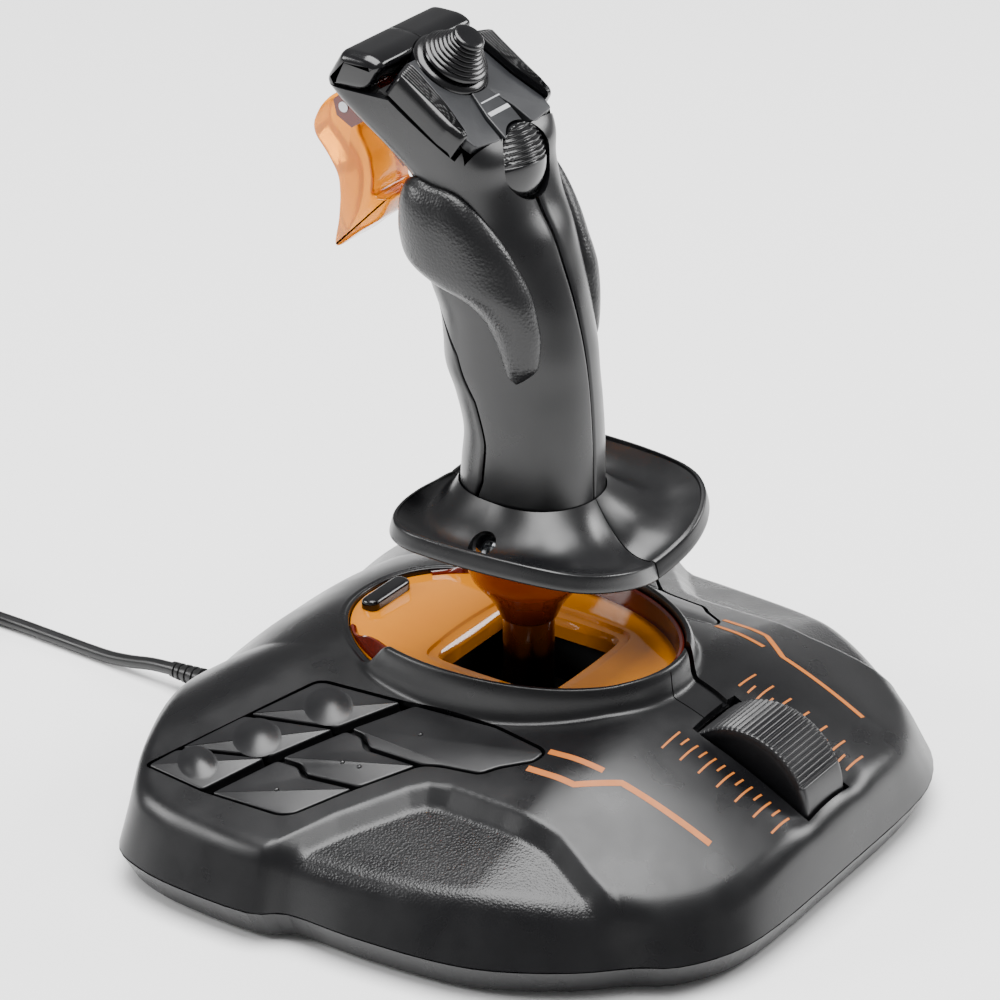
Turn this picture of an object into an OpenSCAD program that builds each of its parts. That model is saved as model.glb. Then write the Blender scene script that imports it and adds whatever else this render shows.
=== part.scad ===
/* [Base] */
// Overall scale of the deck outline across the wings
base_w = 222; // [214:2:226]
// Wall thickness of the top shell
shell_t = 2.6; // [2:0.2:3]
// Height of the split line between tray and top shell
split_z = 10; // [9:0.5:11]
// Height of the deck beside the light disc
deck_top = 49.5; // [48:0.5:50]
// Height of the collar lip around the light disc
lip_z = 55.5; // [54:0.5:56.5]
// Half width of the oval opening in the deck
disc_a = 37.5; // [36.5:0.5:38]
// Half length of the oval opening in the deck
disc_b = 51.5; // [50:0.5:52]
// Half width of the square gate in the light disc
gate_half = 18.5; // [18:0.25:19.5]

/* [Stick] */
// Height of the gimbal centre above the desk
gimbal_z = 22; // [21:0.5:23]
// Radius of the shaft
shaft_r = 7.35; // [7:0.05:7.5]
// Radius of the gimbal pins
pin_r = 2; // [1.8:0.1:2.2]
// Radius of the amber bell under the hand rest
bell_r = 19; // [17:0.5:19.5]
// Radius of the throttle wheel
wheel_r = 21.2; // [20.6:0.1:21.6]
// Width of the throttle wheel
wheel_w = 20; // [19:0.5:20.5]
// Wall thickness of the grip shells
grip_t = 2.4; // [2:0.2:2.8]
// Width of the trigger
trigger_w = 18; // [16:1:18]

/* [Cable] */
// Diameter of the cable
cable_d = 4; // [3.6:0.2:4.2]
// Mean radius of the coil that puts the spare cable away
coil_r = 24; // [22:1:25]

/* [Hidden] */
$fn = 48;

black = "#202123";
satin = "#2b2c2f";
amber = "#e8921c";
steel = "#9a9ca0";
board_green = "#2c5a3c";

// ---- plain helpers ----
function mix(a, b, t) = a + (b - a) * t;
function unit(v) = v / norm(v);
function step01(x) = let (t = min(1, max(0, x))) t * t * (3 - 2 * t);
function smin(a, b, k) = let (h = max(k - abs(a - b), 0) / k) min(a, b) - h * h * k / 4;
function spline(p, q, r, s, t) =
    0.5 * (2 * q + (r - p) * t + (2 * p - 5 * q + 4 * r - s) * t * t + (3 * q - p - 3 * r + s) * t * t * t);

// Closed ring of closed loops: each loop is one section, the last joins the first.
module wheel_of_loops(loops) {
    n = len(loops);
    m = len(loops[0]);
    points = [for (l = loops) each l];
    faces = [for (i = [0:n - 1], j = [0:m - 1])
        let (a = i * m + j, b = i * m + (j + 1) % m, i2 = (i + 1) % n,
            c = i2 * m + (j + 1) % m, d = i2 * m + j)
        each [[a, c, b], [a, d, c]]];
    polyhedron(points = points, faces = faces);
}

// A stack of closed loops with a flat fan over each end.
module stack_of_loops(loops) {
    n = len(loops);
    m = len(loops[0]);
    points = [for (l = loops) each l];
    sides = [for (i = [0:n - 2], j = [0:m - 1])
        let (a = i * m + j, b = i * m + (j + 1) % m, c = a + m, d = b + m)
        each [[a, b, d], [a, d, c]]];
    first = [for (j = [1:m - 2]) [0, j + 1, j]];
    last = [for (j = [1:m - 2]) [(n - 1) * m, (n - 1) * m + j, (n - 1) * m + j + 1]];
    polyhedron(points = points, faces = concat(sides, first, last));
}

// ---- shape of the deck ----
wing = base_w / 222;
hole_y = 4.5;
collar_w = 3.2;
side_slope = 0.29;
side_x = 42;
side_z = 45;
tilt = atan(side_slope);

// Rows from front to rear on the left: lower edge x, y, then upper edge of the wall x, y.
edge_rows = [
    [0, 105, 0, 94], [-20, 103.5, -20, 92.5], [-36, 100, -35, 89.5], [-54, 93.5, -52.5, 84.5],
    [-75, 83, -73.5, 76.5], [-92, 73.5, -89.5, 69.5], [-104, 66, -98.5, 62.5], [-109, 55, -101.8, 54],
    [-111, 40, -103.4, 40], [-110.5, 17, -104, 18], [-105, 7, -100.5, 8], [-104.5, -13, -98.7, -10],
    [-102, -37, -95.8, -31], [-97, -54, -90.5, -48], [-86, -72, -81, -66], [-75, -84, -71, -79],
    [-68, -93.5, -64, -87.5], [-54, -101.5, -51.5, -95.5], [-36, -104.6, -35, -100], [0, -105, 0, -102]];
row_steps = 3;

function row_at(i) =
    let (n = len(edge_rows),
         k = i < 0 ? -i : i > n - 1 ? 2 * (n - 1) - i : i,
         r = edge_rows[k])
    k == i ? r : [-r[0], r[1], -r[2], r[3]];
function half_rows() = [for (i = [0:len(edge_rows) - 2], s = [0:row_steps - 1])
    let (r = spline(row_at(i - 1), row_at(i), row_at(i + 1), row_at(i + 2), s / row_steps))
    [r[0] * wing, r[1], r[2] * wing, r[3]]];
half_edge = half_rows();
rear_edge = edge_rows[len(edge_rows) - 1];
// The whole way round, counter-clockwise seen from above
edge = concat(half_edge, [rear_edge],
    [for (i = [len(half_edge) - 1:-1:1]) let (r = half_edge[i]) [-r[0], r[1], -r[2], r[3]]]);
outline = [for (r = edge) [r[0], r[1]]];

function ridge_y(x) = max(44, 42.5 + 0.474 * (abs(x) - 30));
function deck_z(x, y) =
    let (side = side_z - side_slope * (abs(x) - side_x),
         back = 0.0393 * pow(max(0, -y - 42), 1.55),
         nose = 13.5 * pow(max(0, y - ridge_y(x)) / 36, 2.2))
    smin(side, deck_top, 6) - back - nose;
function hole_r(d) = 1 / sqrt(pow(d[0] / disc_a, 2) + pow(d[1] / disc_b, 2));
// 1 where the collar stands at its full height, 0 across the front
function collar(d) = step01((acos(d[1]) - 48) / 16);

// One section of the shell, from the lip of the oval opening out to the split line and back inside
function shell_section(r) =
    let (c = [0, hole_y],
         d = unit([r[2], r[3]] - c),
         hr = hole_r(d),
         w = norm([r[2], r[3]] - c),
         foot = c + d * (hr + collar_w),
         low = [r[0], r[1], split_z],
         rise = collar(d) * (lip_z - deck_z(foot[0], foot[1])),
         at = function (u) c + d * u,
         top = function (u, up) let (p = at(u)) [p[0], p[1], deck_z(p[0], p[1]) + up],
         p0 = top(w - 4, 0),
         p1 = top(w, 0),
         wall = low - p1,
         p2 = p1 + unit(wall) * 5,
         bend = function (t) p0 * (1 - t) * (1 - t) + p1 * 2 * t * (1 - t) + p2 * t * t,
         inward = [-d[0], -d[1], 0] * shell_t,
         start = hr + collar_w + 1.5,
         span = w - 4 - start,
         seat = 44.5)
    [[at(hr)[0], at(hr)[1], seat], top(hr, rise - 1), top(hr + 0.8, rise), top(hr + 2, rise - 0.6),
     top(hr + collar_w, rise * 0.12), top(start, 0), top(start + span * 0.33, 0), top(start + span * 0.67, 0),
     p0, bend(0.35), bend(0.7), p2, mix(p2, low, 0.5), low,
     low + inward, mix(p2, low, 0.5) + inward, p2 + inward + [0, 0, -1],
     top(w - 4 - shell_t, -shell_t), top(start + span * 0.67, -shell_t), top(start + span * 0.33, -shell_t),
     top(start, -shell_t), [at(hr + 2.2)[0], at(hr + 2.2)[1], seat]];

// ---- frames of reference on the deck and head ----
// Left side facet: x runs inwards along the slope, z stands off it
module on_side() translate([-side_x, 0, side_z]) rotate([0, -tilt, 0]) children();
function on_facet(p) = [(p[0] + side_x) / cos(tilt), p[1]];
module mirrored(right) mirror([right ? 1 : 0, 0, 0]) children();

// Outline of the button group and of its six caps, in plan, on the left
group_outline = [
    [-91.6, 66.5], [-46, 41.2], [-44.4, 38.3], [-40.2, -16.5], [-42.4, -33.4], [-44, -35.5], [-48.1, -34.5],
    [-53.8, -26.8], [-58, -23.2], [-59.8, -11.2], [-61.5, -6.1], [-77.1, 6.5], [-90.1, 15.6], [-92.2, 19.3],
    [-93.3, 44.6]];
cap_outlines = [
    [[-63.6, 50.4], [-46.3, 40.4], [-45.2, 38], [-43.4, 13.4], [-58.2, 24.6]],
    [[-81.7, 60.6], [-64.9, 51.6], [-59.3, 25], [-74.5, 35.2]],
    [[-91, 65.2], [-82.9, 61.4], [-75.9, 36.2], [-92.5, 45.3]],
    [[-42.9, 9], [-41.1, -16.5], [-43.2, -32.8], [-44.4, -34.4], [-47.7, -33.6], [-53.2, -26], [-57.1, -22.6],
     [-58.9, -11], [-60.6, -5.8], [-60.9, 11.6], [-57.5, 15.6], [-57.2, 20.4]],
    [[-58.6, 21.2], [-58.7, 15.9], [-62.2, 12.2], [-61.8, -4.6], [-74.3, 5.2], [-76.2, 21.6], [-73.6, 25.1],
     [-73.9, 31.8]],
    [[-75.3, 32.4], [-75, 25.5], [-77.6, 22.1], [-75.8, 6.6], [-89.6, 16.1], [-91.3, 19.5], [-92.5, 42]]];
stem_points = [[-51.5, 33], [-69.3, 45], [-84.4, 54], [-51.5, -2], [-68.2, 13], [-83.8, 26]];
cap_t = 3;
stem_r = 2.5;
stem_hole_r = 2.58;
press = 1;

// ---- base ----
screw_posts = [[-58, 67], [58, 67], [-90, 2], [90, 2], [-79, -44], [79, -44]];
feet_points = [[-82, 44], [82, 44], [-70, -66], [70, -66]];
axle_y = -76.5;
axle_z = 27.3;
axle_r = 2;

module base_tray() color(black) {
    difference() {
        union() {
            difference() {
                translate([0, 0, split_z]) mirror([0, 0, 1]) linear_extrude(split_z - 2, scale = 0.965)
                    polygon(outline);
                translate([0, 0, 4.5]) linear_extrude(split_z)
                    polygon([for (p = outline) p * 0.95]);
            }
            for (p = screw_posts) translate([p[0], p[1], 2]) cylinder(r = 4.5, h = 12);
            for (s = [-1, 1]) translate([s * 14.5, axle_y, 4]) throttle_stand();
        }
        for (p = screw_posts) translate([p[0], p[1], 1]) cylinder(r = 1.7, h = 20);
        for (p = screw_posts) translate([p[0], p[1], 1]) cylinder(r = 3.2, h = 4.4);
        for (p = feet_points) translate([p[0], p[1], 1]) cylinder(r = 9, h = 2);
        translate([-10, 105, 6]) rotate([90, 0, 0]) cylinder(r = 3.2, h = 25, center = true);
        translate([0, axle_y, axle_z]) rotate([0, 90, 0]) cylinder(r = axle_r, h = 60, center = true);
    }
}
module throttle_stand() {
    translate([-1.5, -5, 0]) cube([3, 10, axle_z - 4]);
    translate([-1.5, 0, axle_z - 4]) rotate([0, 90, 0]) cylinder(r = 5, h = 3);
}

post_r = 4;
// Highest top of a post that stays inside the skin all the way round it
function post_top(p) =
    min([for (a = [0:45:315]) deck_z(p[0] + post_r * cos(a), p[1] + post_r * sin(a))]) - 1.2;
module top_shell() color(black) difference() {
    union() {
        wheel_of_loops([for (r = edge) shell_section(r)]);
        for (p = screw_posts) translate([p[0], p[1], 14.4]) cylinder(r = post_r, h = post_top(p) - 14.4);
    }
    for (right = [false, true]) mirrored(right) on_side() translate([0, 0, -14])
        linear_extrude(30) polygon([for (p = group_outline) on_facet(p)]);
    translate([-wheel_w / 2 - 1, axle_y - wheel_r - 1, 20]) cube([wheel_w + 2, wheel_r * 2 - 5, 40]);
    for (p = screw_posts) translate([p[0], p[1], 10]) cylinder(r = 1.2, h = 12);
}

module rubber_feet() color("#3a3a3a")
    for (p = feet_points) translate([p[0], p[1], 0]) cylinder(r = 8.8, h = 2.9);

module base_screws() color(steel) for (p = screw_posts) translate([p[0], p[1], 2.4]) {
    cylinder(r = 2.9, h = 2.6);
    cylinder(r = 1.15, h = 18);
}

module ballast_plate() color(steel) translate([0, 0, 4.6]) difference() {
    translate([-44, 30, 0]) cube([88, 44, 3]);
    translate([-60, 52, -1]) cube([10, 5, 5]);
}

function oval(a, b, n = 60) = [for (i = [0:n - 1]) [a * cos(i * 360 / n), hole_y + b * sin(i * 360 / n)]];
gate_corner = 4;
module square_gate(half, h) for (s = [[half, half - gate_corner], [half - gate_corner, half]])
    translate([-s[0], -s[1], 0]) cube([2 * s[0], 2 * s[1], h]);

module light_disc() color(amber) {
    difference() {
        translate([0, 0, 44.7]) linear_extrude(2.6) polygon(oval(disc_a - 0.3, disc_b - 0.3));
        translate([0, 0, 40]) square_gate(gate_half, 12);
        for (x = [-1, 1], y = [-1, 1])
            translate([x * (gate_half - gate_corner), y * (gate_half - gate_corner), 40])
                cylinder(r = gate_corner, h = 12);
    }
    difference() {
        translate([0, 0, 47.2]) linear_extrude(6.4) polygon(oval(disc_a - 0.4, disc_b - 0.4));
        translate([0, 0, 46]) linear_extrude(9) polygon(oval(disc_a - 2, disc_b - 2));
        translate([-50, 22, 46]) cube([100, 50, 10]);
    }
}

// Half widths of the square gimbal housing and of the ring that swings inside it
housing_half = 26;
ring_half = 19.5;

module disc_clip() color(black) translate([0, 52, 47.4]) {
    translate([-7, -5, 0]) cube([14, 5.5, 3]);
    for (s = [-1, 1]) translate([s * 7, -2.5, 0]) cylinder(r = 2.5, h = 3);
}

module gimbal_housing() color(satin) translate([0, 0, 4.6]) difference() {
    translate([-housing_half, -housing_half, 0]) cube([2 * housing_half, 2 * housing_half, 39.8]);
    translate([-housing_half + 2.5, -housing_half + 2.5, 2])
        cube([2 * housing_half - 5, 2 * housing_half - 5, 45]);
    translate([0, 0, gimbal_z - 4.6]) rotate([0, 90, 0]) cylinder(r = pin_r + 0.05, h = 80, center = true);
}

// A torsion spring as a close-wound stack of turns around a pin along X
module torsion_spring(turns) for (i = [0:turns - 1]) translate([i * 0.9, 0, 0]) rotate([0, 90, 0])
    rotate_extrude() translate([3.6, 0]) circle(r = 0.5);
module pitch_spring() color(steel) {
    translate([housing_half + 0.9, 0, gimbal_z]) torsion_spring(5);
    translate([housing_half + 0.2, -4.4, gimbal_z - 8]) cube([1.2, 1.2, 8]);
}
module roll_spring() color(steel) rotate([0, 0, 90]) {
    translate([ring_half + 0.5, 0, gimbal_z]) torsion_spring(3);
    translate([ring_half + 0.05, -4.4, gimbal_z - 5]) cube([1.2, 1.2, 5]);
}

module circuit_board() color(board_green) {
    translate([-50, -60, 8]) cube([100, 26, 1.6]);
    translate([-44, -57, 9.6]) cube([8, 8, 1.4]);
    translate([-14, -54, 9.6]) cube([12, 12, 1.4]);
    translate([20, -52, 9.6]) cube([16, 6, 5]);
    for (x = [-46, 46]) translate([x, -38, 4.5]) cylinder(r = 2.5, h = 3.5);
}

module led_ring() color(board_green) translate([0, 0, 41.5]) difference() {
    linear_extrude(1.6) polygon(oval(disc_a - 0.8, disc_b - 0.8));
    translate([-housing_half - 0.6, -housing_half - 0.6, -1])
        cube([2 * housing_half + 1.2, 2 * housing_half + 1.2, 4]);
}

module throttle_axle() color(steel) translate([0, axle_y, axle_z]) rotate([0, 90, 0])
    cylinder(r = axle_r, h = 36, center = true);
module throttle_pot() color("#1c4a6e") translate([18.2, axle_y, axle_z]) rotate([0, 90, 0]) {
    cylinder(r = 6, h = 7);
    translate([-3, -9, 0]) cube([14, 3.5, 5]);
}
wheel_rim = 2.4;
wheel_dish = 1.5;
hub_r = 4.5;
hub_w = 25;
module throttle_wheel() color(satin) translate([0, axle_y, axle_z]) rotate([0, 90, 0]) difference() {
    union() {
        difference() {
            cylinder(r = wheel_r, h = wheel_w, center = true);
            for (s = [-1, 1]) translate([0, 0, s * wheel_w / 2])
                cylinder(r = wheel_r - wheel_rim, h = 2 * wheel_dish, center = true);
        }
        cylinder(r = hub_r, h = hub_w, center = true);
    }
    cylinder(r = axle_r + 0.05, h = 40, center = true);
}

// ---- base buttons ----
// Plate under the caps that guides their stems: height below the facet and thickness
frame_z = -6.2;
frame_t = 1.8;
module button_frame(right) color(black) mirrored(right) on_side() difference() {
    translate([0, 0, frame_z]) linear_extrude(frame_t) polygon([for (p = group_outline) on_facet(p) * 0.985]);
    for (p = stem_points) translate([on_facet(p)[0], p[1], -10]) cylinder(r = stem_hole_r, h = 20);
}
module button_frame_left() button_frame(false);
module button_frame_right() button_frame(true);

module button_boards() for (right = [false, true]) mirrored(right) on_side() {
    color(board_green) translate([-48, 2, -14]) cube([42, 54, 1.6]);
    color(board_green) translate([-24, -14, -14]) cube([18, 16.5, 1.6]);
    for (p = stem_points) color(steel)
        translate([on_facet(p)[0] - 2.4, p[1] - 2.4, -12.6]) cube([4.8, 4.8, 1.9]);
}

module button(k, right) color(satin) mirrored(right) on_side() {
    translate([0, 0, -cap_t]) linear_extrude(cap_t) polygon([for (p = cap_outlines[k - 1]) on_facet(p)]);
    translate([on_facet(stem_points[k - 1])[0], stem_points[k - 1][1], -9.6]) cylinder(r = stem_r, h = 8);
}
module button_left_1() button(1, false);
module button_left_2() button(2, false);
module button_left_3() button(3, false);
module button_left_4() button(4, false);
module button_left_5() button(5, false);
module button_left_6() button(6, false);
module button_right_1() button(1, true);
module button_right_2() button(2, true);
module button_right_3() button(3, true);
module button_right_4() button(4, true);
module button_right_5() button(5, true);
module button_right_6() button(6, true);

// ---- cable ----
cable_r = cable_d / 2;
exit_y = 122;
// Centre line from the end of the strain relief to the coil: x, y, height above the desk
route = [
    [-10, 122, 6], [-10, 130, 5.2], [-10, 138, 3.6], [-9.8, 146, 2.4], [-9.6, 154, 2.1], [-9.4, 163, 2.1],
    [-9.2, 172, 2.1], [-9, 181, 2.1], [-9, 190, 2.1], [-9, 199, 2.1], [-9, 206, 2.1], [-9, 212, 2.1],
    [-9, 218, 2.1]];
coil_turn_w = 10;
coil_x = -9 - (coil_r + coil_turn_w - 2);
coil_y = 226;
module strain_relief() color(black) translate([-10, 99, 6]) rotate([-90, 0, 0]) {
    cylinder(r = 3.15, h = 5);
    translate([0, 0, 4.9]) cylinder(r1 = 3.9, r2 = 2.4, h = 18.1);
}
function ring_at(p, dir, r, n = 8) =
    let (side = unit(cross(dir, [0, 0, 1])), up = cross(side, dir))
    [for (i = [0:n - 1]) p + side * r * cos(i * 360 / n) + up * r * sin(i * 360 / n)];
module cable_tube() color(black) stack_of_loops([for (i = [0:len(route) - 1])
    let (a = route[max(0, i - 1)], b = route[min(len(route) - 1, i + 1)],
        d = i == 0 ? [0, 1, 0] : unit(b - a))
    ring_at(route[i], d, cable_r)]);
module cable_coil() color(black) translate([coil_x, coil_y, 0.4]) rotate_extrude()
    translate([coil_r - coil_turn_w, 0]) square([coil_turn_w * 2, 12.2]);
module cable_tie() color("#18181a") translate([coil_x - coil_r, coil_y, 0]) difference() {
    translate([-coil_turn_w - 1, -3, 0]) cube([coil_turn_w * 2 + 2, 6, 13.4]);
    translate([-coil_turn_w - 0.2, -4, 0.5]) cube([coil_turn_w * 2 + 0.4, 8, 12.1]);
}
module usb_plug() translate([coil_x + 22, coil_y + 12, 12.7]) {
    color(black) translate([-8, -20, 0]) cube([16, 26, 8]);
    color(steel) translate([-6, 6, 1.7]) cube([12, 17, 4.5]);
}

// ---- gimbal and shaft ----
module gimbal_ring() color(satin) translate([0, 0, gimbal_z]) difference() {
    union() {
        difference() {
            translate([-ring_half, -ring_half, -4.5]) cube([2 * ring_half, 2 * ring_half, 9]);
            translate([-ring_half + 5, -ring_half + 5, -6])
                cube([2 * ring_half - 10, 2 * ring_half - 10, 12]);
        }
        for (s = [0, 180]) rotate([0, 0, s]) translate([ring_half - 1, 0, 0]) rotate([0, 90, 0])
            cylinder(r = pin_r, h = 8.5);
    }
    rotate([90, 0, 0]) cylinder(r = pin_r + 0.05, h = 60, center = true);
}
module stick_shaft() color("#6b3a10") {
    translate([0, 0, 12]) cylinder(r = shaft_r, h = 70);
    translate([0, 0, gimbal_z]) rotate([90, 0, 0]) cylinder(r = pin_r, h = 2 * ring_half - 1, center = true);
    translate([-10, -10, gimbal_z - 4]) cube([20, 20, 8]);
    translate([0, 0, 82]) cylinder(r = 6, h = 29);
}
module shaft_bell() color(amber) difference() {
    rotate_extrude() polygon([[shaft_r, 57], [8.2, 57.6], [9.2, 60], [11.5, 64], [14.5, 67.6], [16.6, 70.6],
        [bell_r - 1.2, 75], [bell_r, 80], [bell_r, 84], [shaft_r, 84]]);
    translate([0, 0, 40]) cylinder(r = shaft_r, h = 60);
}

// ---- grip: horizontal sections of the column and head ----
// Height, rear y, front y, half width, squareness of the corners
grip_rows = [
    [96, -21.8, 19.4, 17.6, 2.2], [106, -21.7, 18.6, 17.4, 2.2], [116, -21.4, 17.8, 17.3, 2.2],
    [126, -20.8, 20.6, 17.2, 2.2], [134, -20, 24, 17.4, 2.2], [142, -18.8, 24.2, 17.6, 2.3],
    [150, -17, 25, 18, 2.3], [158, -14.7, 27.6, 18.6, 2.4], [166, -11.8, 29.6, 19.2, 2.5],
    [174, -8.6, 30, 19.6, 2.6], [182, -4, 29, 20, 2.8], [190, -0.6, 29.4, 20.8, 3.2], [197, 0.8, 36, 21.8, 4],
    [203, 5, 42.4, 22.6, 5], [208, 12.8, 47.8, 23, 6], [212, 19.2, 51.5, 23, 7]];
grip_z = [for (r = grip_rows) r[0]];
// A point on section r at angle a, where a runs 0 at the back, 90 on the left, 180 at the front
function grip_point(r, a, grow) =
    let (c = (r[1] + r[2]) / 2, b = (r[2] - r[1]) / 2 + grow, w = r[3] + grow,
         s = sin(a), k = cos(a), e = 2 / r[4])
    [-w * sign(s) * pow(abs(s), e), c - b * sign(k) * pow(abs(k), e), r[0]];
// Angle of the groove that parts the front spine from the side shells, by height
spine_angle = [[96, 112], [104, 104], [116, 103], [128, 106], [140, 116], [146, 128], [152, 142], [158, 168],
    [160, 179.2]];
function c_section(r, a0, a1, n, t) =
    concat([for (i = [0:n]) grip_point(r, mix(a0, a1, i / n), 0)],
        [for (i = [n:-1:0]) grip_point(r, mix(a0, a1, i / n), -t)]);

module grip_shell_left_solid() stack_of_loops([for (r = grip_rows)
    c_section(r, 0.6, lookup(r[0], spine_angle) - 0.8, 14, grip_t)]);

// Slope of the head: origin at its upper end, y runs down towards the thumb, z stands off it
head_tilt = -33.4;
slope_top = [0, 30.5, 219.5];
module on_slope() translate(slope_top) rotate([head_tilt, 0, 180]) children();

module head_room() {
    on_slope() translate([-20.6, -6, -9]) cube([41.2, 38, 40]);
    thumb_axis() translate([0, 0, -14]) cylinder(r = 10.6, h = 40);
}
// Thumb button: its own axis points back and a little up
module thumb_axis() translate([0, 2.4, 193.6]) rotate([78, 0, 0]) children();

module grip_left_shell() color(black) difference() {
    grip_shell_left_solid();
    head_room();
    screw_tunnel();
}
module grip_right_shell() color(black) difference() {
    mirror([1, 0, 0]) grip_shell_left_solid();
    head_room();
    screw_tunnel();
}
module screw_tunnel() translate([-10.5, 30, 119]) rotate([90, 0, 20]) cylinder(r = 3, h = 26);

spine_rows = [for (r = grip_rows) if (r[0] <= 152) r];
module grip_spine() color(black) difference() {
    stack_of_loops([for (r = spine_rows)
        let (a = lookup(r[0], spine_angle) + 1.6) c_section(r, a, 360 - a, 14, grip_t)]);
    screw_tunnel();
}

// Rows of the thumb rest: height, rear angle, front angle, thickness at its middle
rest_rows = [
    [137.5, 52, 66, 0.6], [142, 22, 78, 2.6], [150, 12, 90, 4], [158, 14, 112, 5.4], [165, 24, 146, 6.4],
    [172, 36, 156, 6.4], [179, 56, 156, 6], [184, 76, 150, 5], [188, 96, 138, 3], [190.5, 112, 128, 0.6]];
function grip_at(z) =
    let (i = max([for (k = [0:len(grip_z) - 2]) if (grip_z[k] <= z) k]),
         t = (z - grip_z[i]) / (grip_z[i + 1] - grip_z[i]))
    mix(grip_rows[i], grip_rows[i + 1], t);
module side_rest() stack_of_loops([for (q = rest_rows)
    let (r = grip_at(q[0]), n = 10)
    concat([for (i = [0:n]) grip_point(r, mix(q[1], q[2], i / n), 0.3 + q[3] * pow(sin(180 * i / n), 0.6))],
        [for (i = [n:-1:0]) grip_point(r, mix(q[1], q[2], i / n), 0.15)])]);
module thumb_rest() color("#1c1c1e") side_rest();
module palm_rest() color("#1c1c1e") mirror([1, 0, 0]) side_rest();

module twist_bushing() color(satin) difference() {
    union() {
        translate([0, 0, 88]) cylinder(r = 11, h = 22);
        translate([-14.8, -3, 98]) cube([29.6, 6, 4]);
    }
    translate([0, 0, 80]) cylinder(r = 6.05, h = 40);
}
module twist_sensor() color(board_green) {
    translate([-9, -9, 113]) cube([18, 18, 1.6]);
    translate([-3, -3, 111.6]) cube([6, 6, 1.4]);
    for (x = [-8, 8]) translate([x, 0, 110]) cylinder(r = 1.5, h = 3);
}
module grip_screws() color(steel) {
    translate([-10.5, 30, 119]) rotate([90, 0, 20]) translate([0, 0, 16.4]) cylinder(r = 2.7, h = 2.2);
    for (right = [false, true]) mirrored(right) rest_screw_axis() translate([0, 0, 4.05])
        cylinder(r = 2.9, h = 2.2);
}

// ---- hand rest ----
// Rim of the left half: angle from the back, radius, height
rest_rim = [
    [0, 41.5, 85.5], [8, 43.4, 87.2], [16, 45.6, 89.2], [24, 47.3, 90.9], [32, 48.6, 92.5], [40, 49.3, 94.1],
    [47, 48.7, 95.4], [54, 46.9, 96.1], [62, 44.5, 96.4], [72, 42.3, 96.5], [84, 41, 96.5], [96, 41, 96.5],
    [106, 42, 96.5], [114, 42.1, 96.5], [120, 41.1, 96.5], [126, 39.1, 96.5], [134, 35.7, 96.4],
    [146, 30.9, 96.3], [162, 27.3, 95.5], [180, 26, 94.8]];
rest_neck = 99.4;
rest_thick = 3.2;
function rest_z(a, zr, t) =
    mix(rest_neck, zr, 1 - pow(1 - t, 2.1)) - (1.5 + 5.5 * pow(sin(a), 2)) * sin(180 * t);
function rest_point(a, r, z) = [-r * sin(a), -r * cos(a), z];
function rest_section(a, r1, zr) =
    let (n0 = grip_point(grip_rows[0], a, 0.3), r0 = norm([n0[0], n0[1]]), r2 = r1 - 2.4,
         ts = [0, 0.15, 0.35, 0.55, 0.75, 0.9])
    concat([for (t = ts) rest_point(a, mix(r0, r1, t), rest_z(a, zr, t))],
        [rest_point(a, r1 - 0.4, zr), rest_point(a, r1 + 0.3, zr - 0.6), rest_point(a, r1 + 1.3, zr - 4.2),
         rest_point(a, r1 + 0.6, zr - 5.2), rest_point(a, r1 - 1.2, zr - 5)],
        [for (t = [1, 0.66, 0.33]) let (r = mix(22, r2, t))
            rest_point(a, r, rest_z(a, zr, (r - r0) / (r1 - r0)) - rest_thick)],
        [rest_point(a, 21.6, 85), rest_point(a, r0 - 3.2, 85), rest_point(a, r0 - 3.2, 95.6),
         rest_point(a, r0, 95.6)]);
module hand_rest_half()
    stack_of_loops([for (q = rest_rim) rest_section(min(max(q[0], 0.4), 179.6), q[1], q[2])]);
// Sunk screw that holds each half of the rest; its axis leans outwards
module rest_screw_axis() translate([-18.5, -2.7, 85]) rotate([0, -52, 0]) children();
module hand_rest_cut() difference() {
    hand_rest_half();
    rest_screw_axis() translate([0, 0, 4]) cylinder(r = 3.9, h = 20);
}
module hand_rest_left() color(black) hand_rest_cut();
module hand_rest_right() color(black) mirror([1, 0, 0]) hand_rest_cut();

// ---- head ----
cap_profile = [
    [50.6, 212.4], [45.8, 221.8], [44, 222.4], [36, 222.2], [32.2, 220], [36.2, 213.4], [40, 212.4]];
module head_cap_half() difference() {
    rotate([90, 0, 90]) linear_extrude(22.6) polygon(cap_profile);
    hat_axis() translate([0, 0, -10]) cylinder(r = 11.3, h = 30);
}
module head_cap_right() color(satin) translate([0.1, 0, 0]) head_cap_half();
module head_cap_left() color(satin) mirror([1, 0, 0]) translate([0.1, 0, 0]) head_cap_half();

// Distance of the hat's axis down the slope, and the depth of its pivot under the plate
hat_s = 6.6;
hat_pivot = -7.5;
plate_t = 3;
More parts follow.
